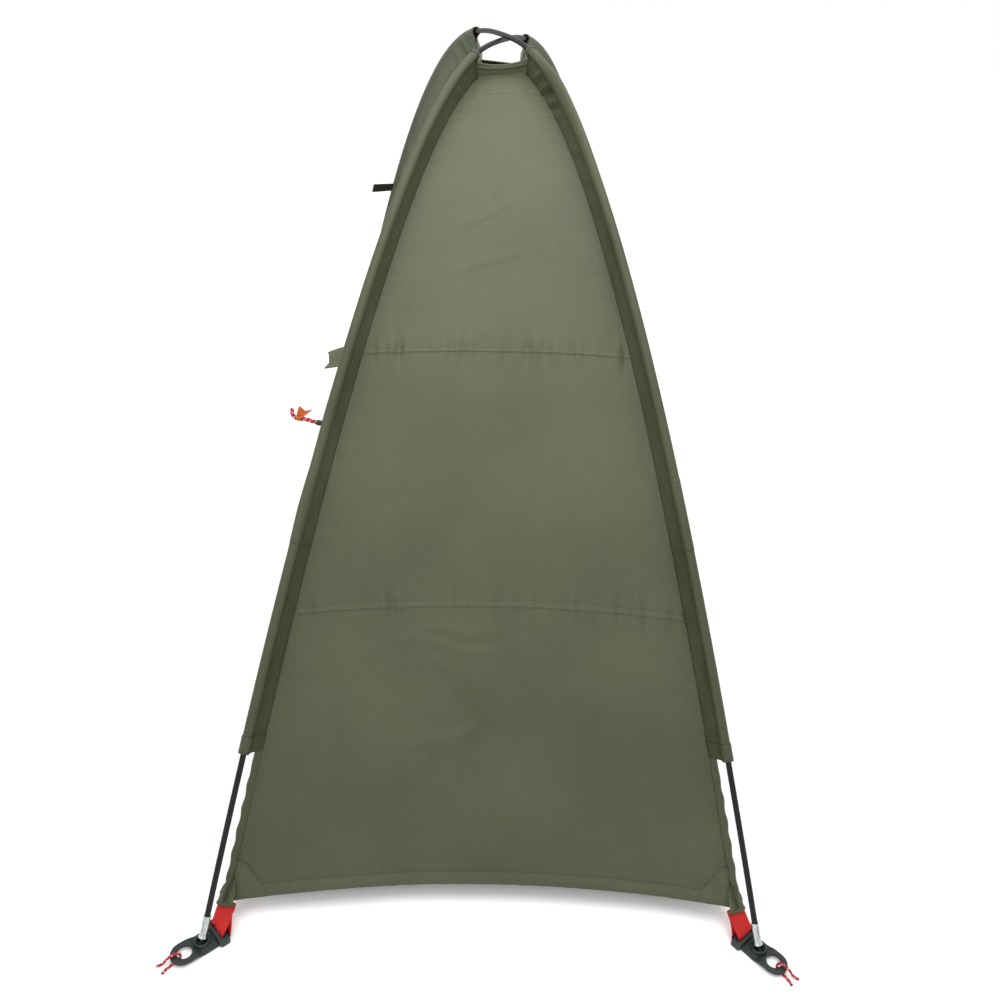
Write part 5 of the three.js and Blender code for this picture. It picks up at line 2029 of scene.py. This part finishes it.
@dataclass
class SideLoops:
    """The tie tab beside the door and the dark loop on the rear left sleeve."""

    canopy: Canopy
    tie_share: float = 0.542
    tie_droop: float = 0.4
    loop_share: float = 0.5875

    @staticmethod
    def leftward(corner: Corner, droop: float) -> Array:
        """Returns a direction square to a left leg's fin that falls by droop."""
        level = unit(np.array([-0.94, -0.34 * corner.y, 0.0]))
        return unit(level - UP * droop)

    def build(self) -> None:
        """Builds both."""
        finishes = self.canopy.finishes
        out = self.leftward(FRONT_LEFT, self.tie_droop)
        along = LINES.tangent(FRONT_LEFT, self.tie_share)
        square = unit(np.cross(along, out))
        upright = unit(np.cross(out, square))
        start = LINES.fin(FRONT_LEFT, self.tie_share, 19 * MM) + self.leftward(FRONT_LEFT, 0) * 6 * MM
        a, b = np.meshgrid(np.linspace(-0.12, 1.0, 24), np.linspace(-0.5, 0.5, 18))
        reach = 44 * MM * a * (1 - 0.09 * (1 - 4 * b**2) * np.clip(a, 0, 1))
        curl = (3.5 * MM * np.sin(2.4 * a + 3.0 * b) + 1.2 * MM * np.sin(9 * b)) * np.clip(a, 0, 1)
        points = start + out * reach[..., None] + upright * (
            29 * MM * b
        )[..., None] + square * curl[..., None]
        tab = grid_object("door_tie_tab_cloth", points, finishes.binding, 1.3 * MM)
        seat(tab, CANOPY, "canopy_cloth", "door_tie_tab")
        edge = [points[2, 3:-2], points[3:-3, -3], points[-3, 3:-2]]
        self.canopy.stitch(
            "door_tie_tab_stitches",
            [(line + square * 0.75 * MM, np.broadcast_to(square, line.shape)) for line in edge],
        )
        out = self.leftward(REAR_LEFT, 0.0)
        along = LINES.tangent(REAR_LEFT, self.loop_share)
        square = unit(np.cross(along, out))
        upright = unit(np.cross(out, square))
        start = LINES.pole(REAR_LEFT, self.loop_share) + out * 5 * MM
        bend = np.linspace(-math.pi / 2, math.pi / 2, 11)
        profile = [(0.0, -0.8), (10.0, -0.9), (28.0, -1.3), (44.0, -1.6)]
        profile += [(48.6 + 1.7 * math.cos(t), 1.7 * math.sin(t)) for t in bend]
        profile += [(44.0, 1.6), (28.0, 1.3), (10.0, 0.9), (0.0, 0.8)]
        line = smooth_route(np.array([start + (out * x + square * y) * MM for x, y in profile]), 70)
        along = unit(np.gradient(line, axis=0))
        side = np.broadcast_to(upright, line.shape)
        loop = swept_object(
            "guy_loop_strap",
            line,
            side,
            np.cross(along, side),
            rounded_bar(25 * MM, 1.2 * MM, spread=8),
            finishes.dark_strap,
        )
        seat(loop, CANOPY, "black_webbing", "guy_loop")


# ---------- the whole tent ----------


def front_panel() -> Panel:
    """Returns the front end, with the folds that its cloth keeps."""
    creases = (
        Crease((0.344, 0.793), (0.507, 0.849), 4.4 * MM), Crease((0.507, 0.849), (0.657, 0.907), 3.6 * MM),
        Crease((0.309, 0.887), (0.498, 0.854), 4.4 * MM), Crease((0.322, 0.902), (0.472, 0.862), 3.6 * MM),
        Crease((0.239, 0.782), (0.58, 0.793), 3.0 * MM), Crease((0.306, 0.773), (0.539, 0.774), 2.2 * MM),
        Crease((0.58, 0.794), (0.846, 0.904), 2.6 * MM), Crease((0.30, 0.345), (0.60, 0.29), 2.2 * MM),
        Crease((0.30, 0.40), (0.66, 0.36), 1.6 * MM), Crease((0.48, 0.31), (0.62, 0.20), 1.3 * MM),
    )
    puckers = (
        Pucker(0.489, 2.4 * MM, 20 * MM), Pucker(0.748, 2.0 * MM, 18 * MM), Pucker(0.07, 0.9 * MM, 16 * MM),
        Pucker(0.985, 0.9 * MM, 24 * MM),
    )
    return Panel(
        "front", FRONT_LEFT, FRONT_RIGHT, (0, -1, 0), 0.045,
        creases=creases, puckers=puckers, seed=11, hem_rise=0.001, columns=181,
    )


def main() -> None:
    """Builds the tent round the frame, in order, and logs each piece that it seats on a body."""
    logging.basicConfig(level=logging.INFO, format="%(message)s")
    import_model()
    studio = Studio()
    studio.place_camera()
    finishes = Finishes()
    setter = LineSetter()
    feet = [Foot(c.value, finishes) for c in Corners]
    for foot in feet:
        foot.build_cord()
    canopy = Canopy(finishes, setter)
    left = Panel(
        "left", REAR_LEFT, FRONT_LEFT, (-1, 0, 0), 0.035, swell=2.4 * MM, puckers=(Pucker(0.3),), seed=29
    )
    side = LeftSide(canopy, left)
    Zip(side, finishes, setter).build()
    plate = feet[0].plate_mesh()
    for foot in feet:
        foot.build_strap()
        foot.build_plate(plate)
    for pole in (Pole("a", FRONT_LEFT, REAR_RIGHT, finishes), Pole("b", FRONT_RIGHT, REAR_LEFT, finishes)):
        pole.build()
        pole.build_tip(pole.start)
        pole.build_tip(pole.end)
    shoulder = (Fold(0.195, 0.045, 5.0 * MM, 36 * MM), Fold(0.33, 0.06, 1.4 * MM, 52 * MM))
    faint = (Fold(0.17, 0.04, 1.2 * MM, 34 * MM),)
    bulge = ((0.678, 0.022, 3.5 * MM), (0.60, 0.02, 1.5 * MM))
    for corner, folds, slack, seed in (
        (FRONT_LEFT, faint, bulge, 5),
        (FRONT_RIGHT, shoulder, ((0.215, 0.05, 7 * MM), (0.29, 0.05, 4 * MM)), 6),
        (REAR_LEFT, (Fold(0.165, 0.05, 5.0 * MM, 50 * MM),), (), 7),
        (REAR_RIGHT, faint, (), 8),
    ):
        Sleeve(corner, canopy, folds, slack, seed).build()
    canopy.build_end(front_panel(), "front_panel", -1.0, (0.489, 0.748))
    rear = Panel(
        "rear", REAR_RIGHT, REAR_LEFT, (0, 1, 0), 0.045, puckers=(Pucker(0.495), Pucker(0.75)), seed=17
    )
    canopy.build_end(rear, "rear_panel", 0.06, (0.489, 0.748))
    right = Panel(
        "right", FRONT_RIGHT, REAR_RIGHT, (1, 0, 0), 0.035, swell=2.4 * MM, puckers=(Pucker(0.42),), seed=23
    )
    canopy.build_end(right, "right_panel", -1.0, (0.42,))
    side.build()
    SideLoops(canopy).build()
    studio.build()


if __name__ == "__main__":
    main()
